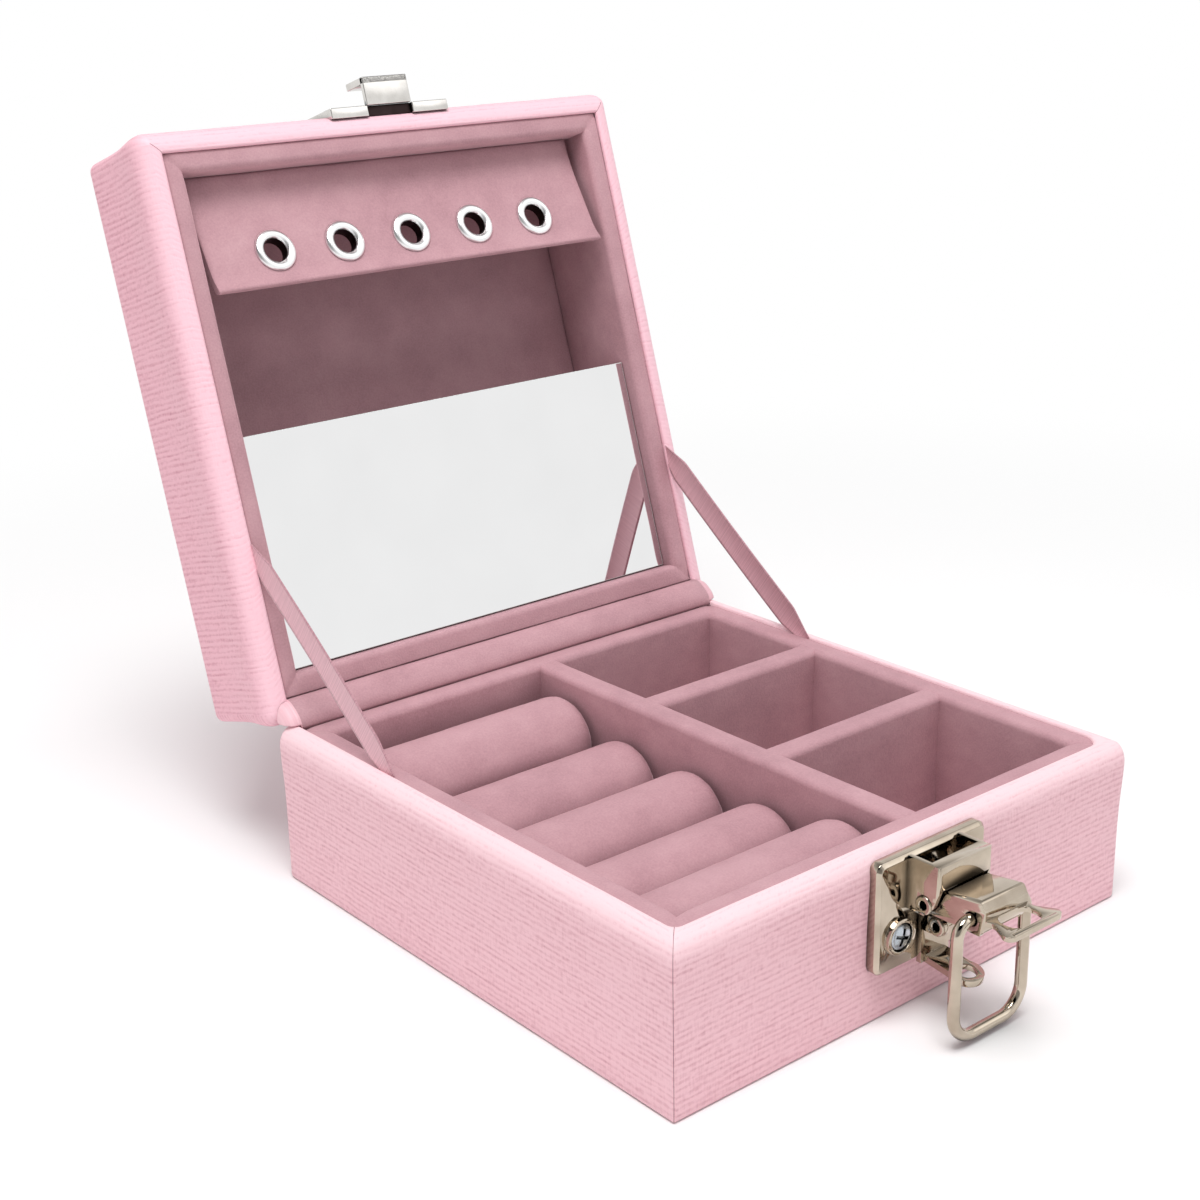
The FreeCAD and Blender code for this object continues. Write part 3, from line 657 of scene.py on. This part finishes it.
def lid_wrap():
    low, top = lid_low.z, lid_high.z
    rows = list(reversed(rim_profile(low, -1, lid_bulge, lid_overlap)))
    rows += wall_rows(low, -1, lid_bulge, top - lid_roll - row_gap, 12)
    rows += [(lid_roll + d, top - lid_roll + h) for d, h in arc((0, 0), lid_roll, 180, 90, 9)]
    rows += [(inset, top) for inset in spread(2 * lid_roll, base_high.x - lid_top_hub, 9)]
    shell = SimpleNamespace(x=lid_high.x, y=lid_high.y, near=soft_corner, closed=True, flat_above=top - 0.1 * MM,
                            skin=lid_leather, edge=low, way=-1, inner={})
    piece = wrap_shell("lid_leather", rows, shell, lambda z: max(z, low + spine_leaf), LID)
    settle(piece, "lid", "lid_leather_wrap")


base_wrap()
lid_wrap()


# Hinge and stay ribbons

def about_hinge(radius, degrees):
    """(y, z) at a radius from the hinge line, with the angle counted from the base rim up."""
    turn = radians(degrees)
    return hinge.y - radius * cos(turn), hinge.z + radius * sin(turn)


def band_along_x(name, places, section, material):
    """A closed (y, z) section, which may change on the way, run along X, with flat ends."""
    verts = []
    for x in places:
        verts += [wavy(Vector((x, y, z)), velvet_wave) for y, z in section(x)]
    rise = lengths(section(0))
    piece = make_piece(name, verts, tube_faces(len(places), len(rise)), material)
    chart = piece.data.uv_layers.new(name="ribs").data
    for loop in piece.data.loops:
        chart[loop.index].uv = (piece.data.vertices[loop.vertex_index].co.x, rise[loop.vertex_index % len(rise)])
    return piece


def hinge_spine():
    """Leather hinge: a leaf on each back wall and the fold between them."""
    thick = base_high.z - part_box("base_back_board")[1].z
    leaf_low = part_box("hinge_spine")[0].z
    leaf = spread(leaf_low, hinge.z - spine_fold_gap, 7)
    back = spread(leaf_low, hinge.z - thick, 7)

    def on_lid(y, heights):
        points = [LID @ Vector((0, y, 2 * hinge.z - z)) for z in heights]
        return [(p.y, p.z) for p in points]

    section = [(hinge.y, z) for z in leaf] + on_lid(hinge.y, reversed(leaf)) + on_lid(hinge.y - thick, back)
    section += [about_hinge(thick, a) for a in spread(lid_open - 12, 12, 6)]
    section += [(hinge.y - thick, z) for z in reversed(back)]
    half = tray_high.x - spine_side_gap
    piece = band_along_x("hinge_leather", spread(-half, half, 41), lambda x: section, leather)
    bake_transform(piece)
    settle(piece, None, "hinge_spine")


def hinge_band():
    """Padded velvet band over the hinge, tucked under the pads, with the rims' leather drawn together past its ends."""
    angles = spread(-band_tuck, lid_open + band_tuck, 15)
    half = tray_high.x - band_side_gap
    corner = base_high.x - half - 0.25 * MM

    def radius(a, inner, outer):
        return outer - (outer - inner) * cos(pi * (a - lid_open / 2) / (lid_open + 2 * band_tuck)) ** 2

    def section(x):
        past = max(0, abs(x) - half) / corner
        scale = sqrt(max(0.02, 1 - past ** 3)) - (0.06 if past else 0)
        turns = [min(max(a, 1), lid_open - 1) if past else a for a in angles]
        crown = [about_hinge(radius(a, band_bulge, band_reach) * scale, a) for a in turns]
        under = [about_hinge(radius(a, band_bulge - band_thick, band_reach - 0.2 * MM) * scale * 0.9, a)
                 for a in reversed(turns)]
        return crown + under

    ends = [half + corner * share for share in (0.04, 0.25, 0.45, 0.65, 0.8, 0.9, 0.97, 1)]
    places = [-x for x in reversed(ends)] + spread(-half, half, 41) + ends
    piece = band_along_x("hinge_velvet", places, section, velvet)
    piece.data.materials.append(leather)
    chart = piece.data.uv_layers["ribs"].data
    for face in piece.data.polygons:
        if abs(face.center.x) > half:
            face.material_index = 1
            for corner in face.loop_indices:
                chart[corner].uv.y = 0
    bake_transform(piece)
    settle(piece, None, "hinge_lining")


def stay_ribbon(side, node):
    """Satin ribbon with a thicker woven edge, straight between its two anchors, where it is gathered."""
    low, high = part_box(node)
    start = Vector((0, hinge.y - ribbon_anchor, hinge.z))
    end = Vector((0, *about_hinge(ribbon_anchor, lid_open)))
    run = (end - start).normalized()
    across = Vector((0, -run.z, run.y))
    start, end = start - run * ribbon_tuck, end + run * ribbon_tuck
    long = (end - start).length
    x = (low.x + high.x) / 2
    half, edge, rows = ribbon_width / 2, ribbon_edge, 60
    right = [(half - 1.4 * edge, 0.55), (half - edge, 1), (half, 0.6)]
    face = [(-a, t) for a, t in reversed(right)] + [(0, 0.5)] + right
    section = face + [(a, -t) for a, t in reversed(face)]
    verts = []
    for share in spread(0, 1, rows):
        middle = start.lerp(end, share)
        bow = ribbon_bow * sin(pi * share)
        gather = min(1, 0.35 + min(share, 1 - share) * long / ribbon_gather)
        for a, t in section:
            verts.append(middle + across * a * gather + Vector((x + side * (t * ribbon_thick / 2 - bow), 0, 0)))
    count = len(section)
    piece = make_piece("stay_" + node, verts, tube_faces(rows, count), ribbon)
    chart = piece.data.uv_layers.new(name="weave").data
    for loop in piece.data.loops:
        row, column = divmod(loop.vertex_index, count)
        chart[loop.index].uv = (section[column][0], row / (rows - 1) * long)
    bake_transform(piece)
    settle(piece, None, node)


hinge_spine()
hinge_band()
stay_ribbon(1, "ribbon_right")
stay_ribbon(-1, "ribbon_left")


# Velvet pads

def pad_profile(thick, tall, front_roll, back_roll, swell):
    """Section of a padded wall: (depth from its back, height), crowned on top and swelling in front."""
    back = [(0, 0)] + [(0, h) for h in spread(tall * 0.3, tall - back_roll, 4)]
    back += [(back_roll + d, tall - back_roll + h) for d, h in arc((0, 0), back_roll, 170, 90, 6)]
    front = [(thick - front_roll + d, tall - front_roll + h) for d, h in arc((0, 0), front_roll, 90, 0, 9)]
    for h in spread(tall - front_roll, 0, 10)[1:]:
        front.append((thick + swell * sin(pi * h / tall) - swell * 0.3, h))
    return back + front


def end_spaced(count):
    """Places from 0 to 1, close together near both ends."""
    return [(1 - cos(pi * i / (count - 1))) / 2 for i in range(count)]


def draw_in(along, depth, half, radius):
    """A point of a mitred pad, moved in where the corner it fills is round."""
    a, d = abs(along) - half + radius, radius - depth
    if a > 0 and d > 0 and hypot(a, d) > radius:
        scale = radius / hypot(a, d)
        return copysign(half - radius + a * scale, along), radius - d * scale
    return along, depth


def cope(below):
    """How far a divider's end follows the round edge it meets, this far below the top."""
    rise = max(0, divider_roll - below)
    return divider_roll - sqrt(divider_roll ** 2 - rise ** 2)


def pad_wall(name, node, body, low, high, side, profile, mitred=True, place=None, corners=(0, 0)):
    """A padded wall on one side of a box, upside down in the lid; corners are the radii that its ends fill."""
    middle, tall = (low + high) / 2, high.z - low.z
    half = (high.x - low.x if side in ("front", "back") else high.y - low.y) / 2

    def locate(a, d, h):
        z = high.z - h if body == "lid" else low.z + h
        return Vector({"front": (middle.x + a, low.y + d, z), "back": (middle.x - a, high.y - d, z),
                       "right": (high.x - d, middle.y + a, z), "left": (low.x + d, middle.y - a, z)}[side])

    places = end_spaced(56)
    verts = []
    for share in places:
        for depth, height in profile:
            reach = half - depth if mitred else half + cope(tall - height)
            along = -reach + 2 * reach * share
            near = reach - abs(along)
            crown = max(0, 1 - (tall - height) / pucker_depth)
            sink = pad_pucker * crown * exp(-(near / pucker_reach) ** 2) if mitred else 0
            along, drawn = draw_in(along, depth, half, corners[0 if along < 0 else 1])
            verts.append(wavy(locate(along, drawn, height - sink), velvet_wave, 9 * MM))
    piece = make_piece(name, verts, tube_faces(len(places), len(profile)), velvet, place)
    face_outward(piece)
    sharpen(piece, 50)
    settle(piece, body, node)


def tray_linings():
    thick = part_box("tray_front_lining")[1].y - tray_low.y
    profile = pad_profile(thick, tray_high.z - tray_low.z, pad_crown, pad_back_roll, pad_swell)
    corners = {"front": (inner_seam, inner_corner), "back": (0, 0),
               "right": (inner_corner, 0), "left": (0, inner_seam)}
    for side, radii in corners.items():
        pad_wall("tray_" + side + "_pad", "tray_" + side + "_lining", "base", tray_low, tray_high, side, profile,
                 corners=radii)


def dividers():
    for node, side in (("centre_divider", "left"), ("cross_divider_back", "front"), ("cross_divider_front", "front")):
        low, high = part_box(node)
        thick = high.x - low.x if side == "left" else high.y - low.y
        profile = pad_profile(thick, high.z - low.z, divider_roll, divider_roll, 0)
        pad_wall(node + "_pad", node, "base", low, high, side, profile, False)


def lid_frame():
    low, inner = local_box("lid_frame_top")
    high = Vector((local_box("lid_frame_right")[1].x, local_box("lid_frame_bottom")[1].y, inner.z))
    low.x = -high.x
    for name, side in (("top", "front"), ("bottom", "back"), ("right", "right"), ("left", "left")):
        back_roll = pad_back_roll if name == "bottom" else lid_back_roll
        profile = pad_profile(inner.y - low.y, high.z - low.z, pad_crown, back_roll, lid_pad_swell)
        pad_wall("lid_" + name + "_pad", "lid_frame_" + name, "lid", low, high, side, profile, place=LID)


def flat_pad(name, node, body, low, high, place=None, up=1):
    """A thin velvet sheet, with a faint crown and soft edges, that shows its upper or lower face."""
    count = 40
    size, middle = high - low, (low.z + high.z) / 2
    verts = []
    for j, sy in enumerate(end_spaced(count)):
        for i, sx in enumerate(end_spaced(count)):
            edge = min(i, count - 1 - i, j, count - 1 - j)
            swell = panel_crown * (sin(pi * sx) * sin(pi * sy)) ** 0.5
            z = size.z / 2 + swell - panel_crown - (0.3 * size.z if edge == 0 else 0)
            verts.append(wavy(Vector((low.x + size.x * sx, low.y + size.y * sy, middle + up * z)), velvet_wave))
    total = len(verts)
    verts += [Vector((v.x, v.y, low.z if up > 0 else high.z)) for v in verts]
    top = grid_faces(count, count, False)
    faces = top + [tuple(reversed([v + total for v in f])) for f in top]
    rim = list(range(count)) + [j * count + count - 1 for j in range(1, count)]
    rim += [total - 1 - k for k in range(1, count)] + [j * count for j in range(count - 2, 0, -1)]
    faces += [(here, here + total, there + total, there) for here, there in zip(rim, rim[1:] + rim[:1])]
    # The sheet gets the darker velvet with painted shade
    piece = make_piece(name, verts, faces, shaded_velvet, place)
    face_outward(piece)
    settle(piece, body, node)


tray_linings()
dividers()
lid_frame()
flat_pad("tray_floor_velvet", "tray_floor_pad", "base", *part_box("tray_floor_pad"))
flat_pad("lid_lining_velvet", "lid_lining_panel", "lid", *local_box("lid_lining_panel"), LID, -1)


# Ring rolls

def ring_roll(node):
    """Foam roll under velvet: crowned across and rounded at its ends."""
    low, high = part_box(node)
    slack = roll_slack
    half = (high.y - low.y) / 2 - slack
    middle = (high.y + low.y) / 2
    spring = high.z - half
    long = high.x - low.x - 2 * slack
    places = [roll_end * (1 - cos(radians(a))) for a in spread(0, 90, 9)]
    places = places + spread(roll_end, long - roll_end, 26)[1:-1] + [long - p for p in reversed(places)]
    turns = [radians(a) for a in spread(0, 90, 5)]
    verts = []
    for x in places:
        end = min(x, long - x)
        shrink = roll_end - sqrt(max(0, roll_end ** 2 - max(0, roll_end - end) ** 2))
        radius = half - shrink
        side = [(-radius + roll_foot * (1 - sin(t)), low.z + roll_foot * (1 - cos(t))) for t in turns]
        side += [(-radius, z) for z in spread(low.z + roll_foot, spring, 5)[1:-1]]
        section = side + [(d, spring + h) for d, h in arc((0, 0), radius, 180, 0, 25)]
        section += [(-y, z) for y, z in reversed(side)]
        verts += [wavy(Vector((low.x + slack + x, middle + y, z)), velvet_wave, 10 * MM) for y, z in section]
    piece = make_piece(node + "_foam", verts, tube_faces(len(places), len(section)), velvet)
    face_outward(piece)
    stuff(piece, low.z + roll_foot)
    settle(piece, "base", node)


def stuff(piece, foot):
    """Swells a cover as simulated cloth, made larger for the while and held along its foot."""
    trial = add_object("trial", piece.data.copy())
    for v in trial.data.vertices:
        v.co *= cover_scale
    put(trial.modifiers.new("remesh", "REMESH"), mode="VOXEL", voxel_size=cover_cell * cover_scale)
    apply_modifiers(trial)
    before = [v.co.copy() for v in trial.data.vertices]
    held = trial.vertex_groups.new(name="foot")
    held.add([v.index for v in trial.data.vertices if v.co.z < foot * cover_scale], 1, "REPLACE")
    cover = trial.modifiers.new("cover", "CLOTH").settings
    put(cover, use_pressure=True, uniform_pressure_force=cover_pressure, vertex_group_mass="foot")
    cover.effector_weights.gravity = 0
    for moment in range(1, cover_moments + 1):
        scene.frame_set(moment)
    apply_modifiers(trial)
    for v, rest in zip(trial.data.vertices, before):
        move = v.co - rest
        if move.length > roll_swell * cover_scale:
            move *= roll_swell * cover_scale / move.length
        v.co = (rest + move) / cover_scale
    trial.modifiers.new("rounder", "SUBSURF").levels = 1
    apply_modifiers(trial)
    piece.data = trial.data
    skin(piece, velvet)
    bpy.data.objects.remove(trial)
    scene.frame_set(1)


for number in range(1, 6):
    ring_roll("ring_roll_%d" % number)


# Mirror

def mirror():
    piece = from_bmesh("mirror_pane", bevelled_box(*local_box("mirror_glass"), mirror_bevel, 2))
    piece.data.materials.append(glass_edge)
    piece.data.materials.append(mirror_face)
    for face in piece.data.polygons:
        if face.normal.z < -0.99:
            face.material_index = 1
    piece.matrix_world = LID
    settle(piece, "lid", "mirror_glass")


mirror()


# Earring flap and eyelets

flap_root = LID.inverted() @ Vector(joints["flap_fold"]["pos_m"])
FLAP = LID @ Matrix.Translation(flap_root) @ Matrix.Rotation(radians(-flap_lean), 4, "X")


def flap_bend(s):
    """How far the flap stands forward of its flat line, at its fold and its flared free edge."""
    root = 0.9 * MM * max(0, 1 - s / (9 * MM)) ** 2
    flare = 1.1 * MM * max(0, (s - 19 * MM) / (4.5 * MM)) ** 2
    return -(root + flare)


def earring_flap():
    low, high = local_box("earring_flap", FLAP)
    half = flap_thick / 2
    near, far = low.y + flap_edge, high.y - flap_edge
    turns = [radians(a) for a in spread(-70, 70, 7)]
    section = [(s, -half) for s in spread(near, far, 24)]
    section += [(far + flap_edge * cos(t), half * sin(t)) for t in turns]
    section += [(s, half) for s in spread(far, near, 24)]
    section += [(near - flap_edge * cos(t), half * sin(t)) for t in reversed(turns)]
    verts = []
    places = [low.x] + spread(low.x + flap_end, high.x - flap_end, 70) + [high.x]
    for k, x in enumerate(places):
        shrink = 0.75 if k in (0, len(places) - 1) else 1
        for s, n in section:
            verts.append(wavy(Vector((x, s, n * shrink + flap_bend(s))), velvet_wave))
    piece = make_piece("flap_velvet", verts, tube_faces(len(places), len(section)), velvet, FLAP)
    face_outward(piece)
    punch = bmesh.new()
    for number in range(1, 6):
        centre = sum(local_box("eyelet_%d" % number, FLAP), Vector()) / 2
        bmesh.ops.create_cone(punch, cap_ends=True, segments=40, radius1=flap_hole, radius2=flap_hole, depth=8 * MM,
                              matrix=Matrix.Translation((centre.x, centre.y, 0)))
    cutter = from_bmesh("flap_punch", punch)
    cutter.matrix_world = FLAP
    cut_out(piece, cutter)
    sharpen(piece, 45)
    settle(piece, "flap", "earring_flap")


def eyelet(node):
    """Rolled eyelet with a domed face."""
    low, high = local_box(node, FLAP)
    centre = (low + high) / 2
    outer = (high.x - low.x) / 2
    bore, neck = eyelet_bore, eyelet_bore + eyelet_skin
    face_top, back = -eyelet_face, eyelet_face
    roll = (outer - bore) / 2
    profile = [(r, face_top + z * 0.85) for r, z in arc((bore + roll, 0), roll, 180, 360, 15)]
    profile += [(outer - 0.1 * MM, face_top + 0.12 * MM), (neck, face_top + 0.15 * MM), (neck, back),
                (outer - 0.5 * MM, back), (outer - 0.6 * MM, back + 0.3 * MM), (bore + 0.3 * MM, back + 0.35 * MM),
                (bore, back)]
    verts, faces = lathe(profile, 56, True)
    verts = [v + Vector((centre.x, centre.y, 0)) for v in verts]
    piece = make_piece(node + "_ring", verts, faces, bright, FLAP)
    face_outward(piece)
    # Painted shade: the faces inside the bore get the dark plate
    piece.data.materials.append(shade_plate)
    for face in piece.data.polygons:
        if max((piece.data.vertices[v].co - centre).xy.length for v in face.vertices) < bore + 0.32 * MM:
            face.material_index = 1 if max(piece.data.vertices[v].co.z for v in face.vertices) > face_top else 0
    sharpen(piece, 40)
    settle(piece, "flap", node)


earring_flap()
for number in range(1, 6):
    eyelet("eyelet_%d" % number)


# Latch metal and hidden boards

def dress(node, material, width=0):
    """Gives a CAD node its material, and with a width rounds its sharp edges."""
    piece = frame["nodes"][node]
    skin(piece, material)
    sharpen(piece, 35)
    if not width:
        return
    put(piece.modifiers.new("weld", "WELD"), merge_threshold=0.002 * MM)
    put(piece.modifiers.new("flat", "DECIMATE"), decimate_type="DISSOLVE", angle_limit=radians(0.5))
    put(piece.modifiers.new("edge", "BEVEL"), width=width, segments=2, limit_method="ANGLE", angle_limit=radians(35),
        harden_normals=True, use_clamp_overlap=True)


def wire_bail():
    """Round wire bent into a loop, its ends turned in through the lever's cheeks to the bush."""
    low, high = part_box("latch_bail")
    radius = (high.y - low.y) / 2
    y = (high.y + low.y) / 2
    leg = high.x - radius
    pivot = high.z - radius
    foot = low.z + radius
    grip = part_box("bail_bush")[1].x - bail_grip
    path = [(-grip, pivot)] + arc((bail_shoulder - leg, pivot - bail_shoulder), bail_shoulder, 90, 180, 13)
    path += arc((bail_corner - leg, foot + bail_corner), bail_corner, 180, 270, 13)
    path += [(-x, z) for x, z in reversed(path)]
    around = 24
    verts = []
    for k, (x, z) in enumerate(path):
        before, after = path[max(k - 1, 0)], path[min(k + 1, len(path) - 1)]
        run = Vector((after[0] - before[0], 0, after[1] - before[1])).normalized()
        out = Vector((run.z, 0, -run.x))
        for a in spread(0, 2 * pi, around + 1)[:-1]:
            verts.append(Vector((x, y, z)) + (out * cos(a) + Vector((0, 1, 0)) * sin(a)) * radius)
    piece = make_piece("bail_wire", verts, tube_faces(len(path), around), nickel)
    face_outward(piece)
    sharpen(piece, 50)
    settle(piece, "bail", "latch_bail")


def rivet(node):
    """Hollow rivet along X with a rolled head at each end."""
    low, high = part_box(node)
    half = (high.x - low.x) / 2
    head = (high.z - low.z) / 2
    end = [(rivet_bore, half - 1.2 * MM), (rivet_bore, half - 0.12 * MM), (rivet_bore + 0.12 * MM, half),
           (head - 0.3 * MM, half), (head - 0.08 * MM, half - 0.08 * MM), (head, half - rivet_head * 0.6),
           (head, half - rivet_head), (rivet_shank, half - rivet_head)]
    verts, faces = lathe([(r, -h) for r, h in end] + [(r, h) for r, h in reversed(end)], 40, False)
    turn = Matrix.Translation((low + high) / 2) @ Matrix.Rotation(radians(90), 4, "Y")
    piece = make_piece(node + "_tube", [turn @ v for v in verts], faces, nickel)
    face_outward(piece)
    sharpen(piece, 40)
    settle(piece, "base", node)


def cross_screws(node, body, head, low, high, place=None):
    """Two screws with domed heads and a cross recess; low and high are corners of both together."""
    length = high.y - low.y
    seat = length - screw_rise
    profile = [(screw_shank, 0), (screw_shank, seat), (head, seat), (head, seat + 0.35 * screw_rise)]
    profile += [(head * cos(a), seat + (0.35 + 0.65 * sin(a)) * screw_rise) for a in spread(0.2, 1.5, 10)]
    bm = bmesh.new()
    cross = bmesh.new()
    for side in (-1, 1):
        stand = Matrix.Translation((side * (high.x - head), high.y, (low.z + high.z) / 2))
        stand = stand @ Matrix.Rotation(radians(90), 4, "X") @ Matrix.Rotation(radians(20 * side), 4, "Z")
        verts, faces = lathe(profile, 48, False)
        made = [bm.verts.new(stand @ v) for v in verts]
        for face in faces:
            bm.faces.new([made[v] for v in face])
        for long, wide in ((1.3 * head, 0.26 * head), (0.26 * head, 1.3 * head)):
            at = stand @ Matrix.Translation((0, 0, length)) @ Matrix.Diagonal((long, wide, 1.2 * screw_rise, 1))
            bmesh.ops.create_cube(cross, size=1, matrix=at)
    for made in (bm, cross):
        bmesh.ops.recalc_face_normals(made, faces=made.faces)
    piece = from_bmesh(node + "_pair", bm)
    cut_out(piece, from_bmesh("cross_recess", cross), True)
    skin(piece, steel)
    sharpen(piece, 30)
    piece.matrix_world = place or Matrix()
    settle(piece, body, node)


def strike():
    """Strike on the lid: a plate with two feet, and a hook that stands off it over a recess painted dark as shade."""
    low, high = local_box("strike_plate")
    face = high.y - strike_thick
    half = strike_hook_half
    ledge = low.z + strike_ledge
    window = low.z + strike_window
    boxes = [
        ((-half, face, window), (half, high.y, high.z)),
        ((low.x, face, low.z), (-half, high.y, high.z)),
        ((half, face, low.z), (high.x, high.y, high.z)),
        ((-half, low.y, low.z), (half, face, ledge)),
        ((-half, low.y, low.z), (half, low.y + strike_hook_wall, low.z + strike_hook_tall)),
        ((-half, face, low.z + strike_recess), (half, high.y, window)),
    ]
    verts, faces, skins = [], [], []
    for number, (start, end) in enumerate(boxes):
        bm = bevelled_box(Vector(start), Vector(end), strike_bevel, 3)
        bm.verts.index_update()
        faces += [[len(verts) + v.index for v in side.verts] for side in bm.faces]
        # Painted shade: the last box, the recess, gets the dark plate
        skins += [1 if number == len(boxes) - 1 else 0] * len(bm.faces)
        verts += [tuple(v.co) for v in bm.verts]
        bm.free()
    piece = make_piece("strike_hook", verts, faces, strike_metal, LID)
    piece.data.materials.append(shade_plate)
    piece.data.polygons.foreach_set("material_index", skins)
    sharpen(piece, 35)
    settle(piece, "lid", "strike_plate")


for node in ("latch_plate", "latch_hood", "latch_lever", "padlock_eye"):
    dress(node, nickel, metal_edge)
strike()
dress("bail_bush", nickel)
wire_bail()
rivet("lever_pin")
rivet("eye_rivet")
cross_screws("latch_screws", "base", plate_screw, *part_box("latch_screws"))
cross_screws("strike_screws", "lid", strike_screw, *local_box("strike_screws"), LID)
for node in frame["nodes"]:
    if node.endswith("_board"):
        dress(node, board, board_edge)
dress("base_bottom_sheet", cloth)


# Stage, light and camera

def stage():
    corners = [(x * floor_half, y * floor_half, 0) for x, y in ((-1, -1), (1, -1), (1, 1), (-1, 1))]
    floor = make_piece("floor", corners, [(0, 1, 2, 3)], floor_material())
    floor.location.z = -floor_drop


def floor_material():
    """Pale floor that keeps the object's shadow and fades to white away from it."""
    made = Shader("pale_floor")
    away = made.node("VectorMath", (made.node("NewGeometry"),), "Value", operation="LENGTH")
    fade = made.spread(away, 0, 1, *floor_fade, interpolation_type="SMOOTHSTEP")
    seen = made.math("MAXIMUM", made.ray("Camera"), made.ray("Glossy"))
    white = made.node("Emission", {"Color": (1, 1, 1, 1), "Strength": 1})
    mixed = made.node("MixShader", (made.math("MULTIPLY", fade, seen), made.bsdf.outputs[0], white))
    made.feed(made.tree.nodes["Material Output"].inputs["Surface"], mixed)
    return made.surface(Base_Color=srgb((0.97, 0.97, 0.97)), Roughness=0.9, Specular_IOR_Level=0.1)


def world_light():
    """Even light; a polished surface sees a white horizon, a bright window, a dark screen and a dim ceiling."""
    world = bpy.data.worlds.new("studio")
    scene.world = world
    made = Nodes(world)
    where = made.node("TexCoord", (), "Generated")

    def facing(way):
        return made.node("VectorMath", (where, way), "Value", operation="DOT_PRODUCT")

    ceiling = made.spread(facing((0, 0, 1)), 1, 0.3, 0.4, 0.85)
    window = made.spread(facing((0.5, -0.55, 0.67)), 0, 0.9, 0.905, 0.97)
    screen = made.spread(facing((-0.75, -0.55, 0.35)), 0, -0.7, 0.7, 0.9)
    room = made.math("ADD", made.math("ADD", ceiling, window), screen)
    glossy = made.node("Mix", {"Factor": made.ray("Glossy"), "A": sky_level, "B": room})
    level = made.node("Mix", {"Factor": made.ray("Camera"), "A": glossy, "B": 1})
    back = made.tree.nodes["Background"]
    made.feed(back.inputs["Color"], (1, 1, 1, 1))
    made.feed(back.inputs["Strength"], level)


def soft_box(name, place, target, size, power):
    lamp = put(bpy.data.lights.new(name, "AREA"), shape="RECTANGLE", size=size[0], size_y=size[1], energy=power)
    aim = (Vector(target) - Vector(place)).to_track_quat("-Z", "Y").to_euler()
    put(add_object(name, lamp), location=place, rotation_euler=aim)


def camera():
    lens = put(bpy.data.cameras.new("camera"), sensor_width=36, lens=camera_lens, clip_start=0.01)
    eye = add_object("camera", lens)
    turn, lift = radians(camera_azimuth), radians(camera_lift)
    ahead = Vector((sin(turn) * cos(lift), cos(turn) * cos(lift), -sin(lift)))
    aim = ahead.to_track_quat("-Z", "Y").to_matrix().to_4x4()
    eye.matrix_world = Matrix.Translation(camera_place) @ aim @ Matrix.Rotation(radians(camera_roll), 4, "Z")
    scene.camera = eye


stage()
world_light()
soft_box("key", (-0.2, -0.2, 1), (0, 0, 0.05), (0.5, 0.5), 7.2)
camera()
scene.view_settings.view_transform = "Standard"
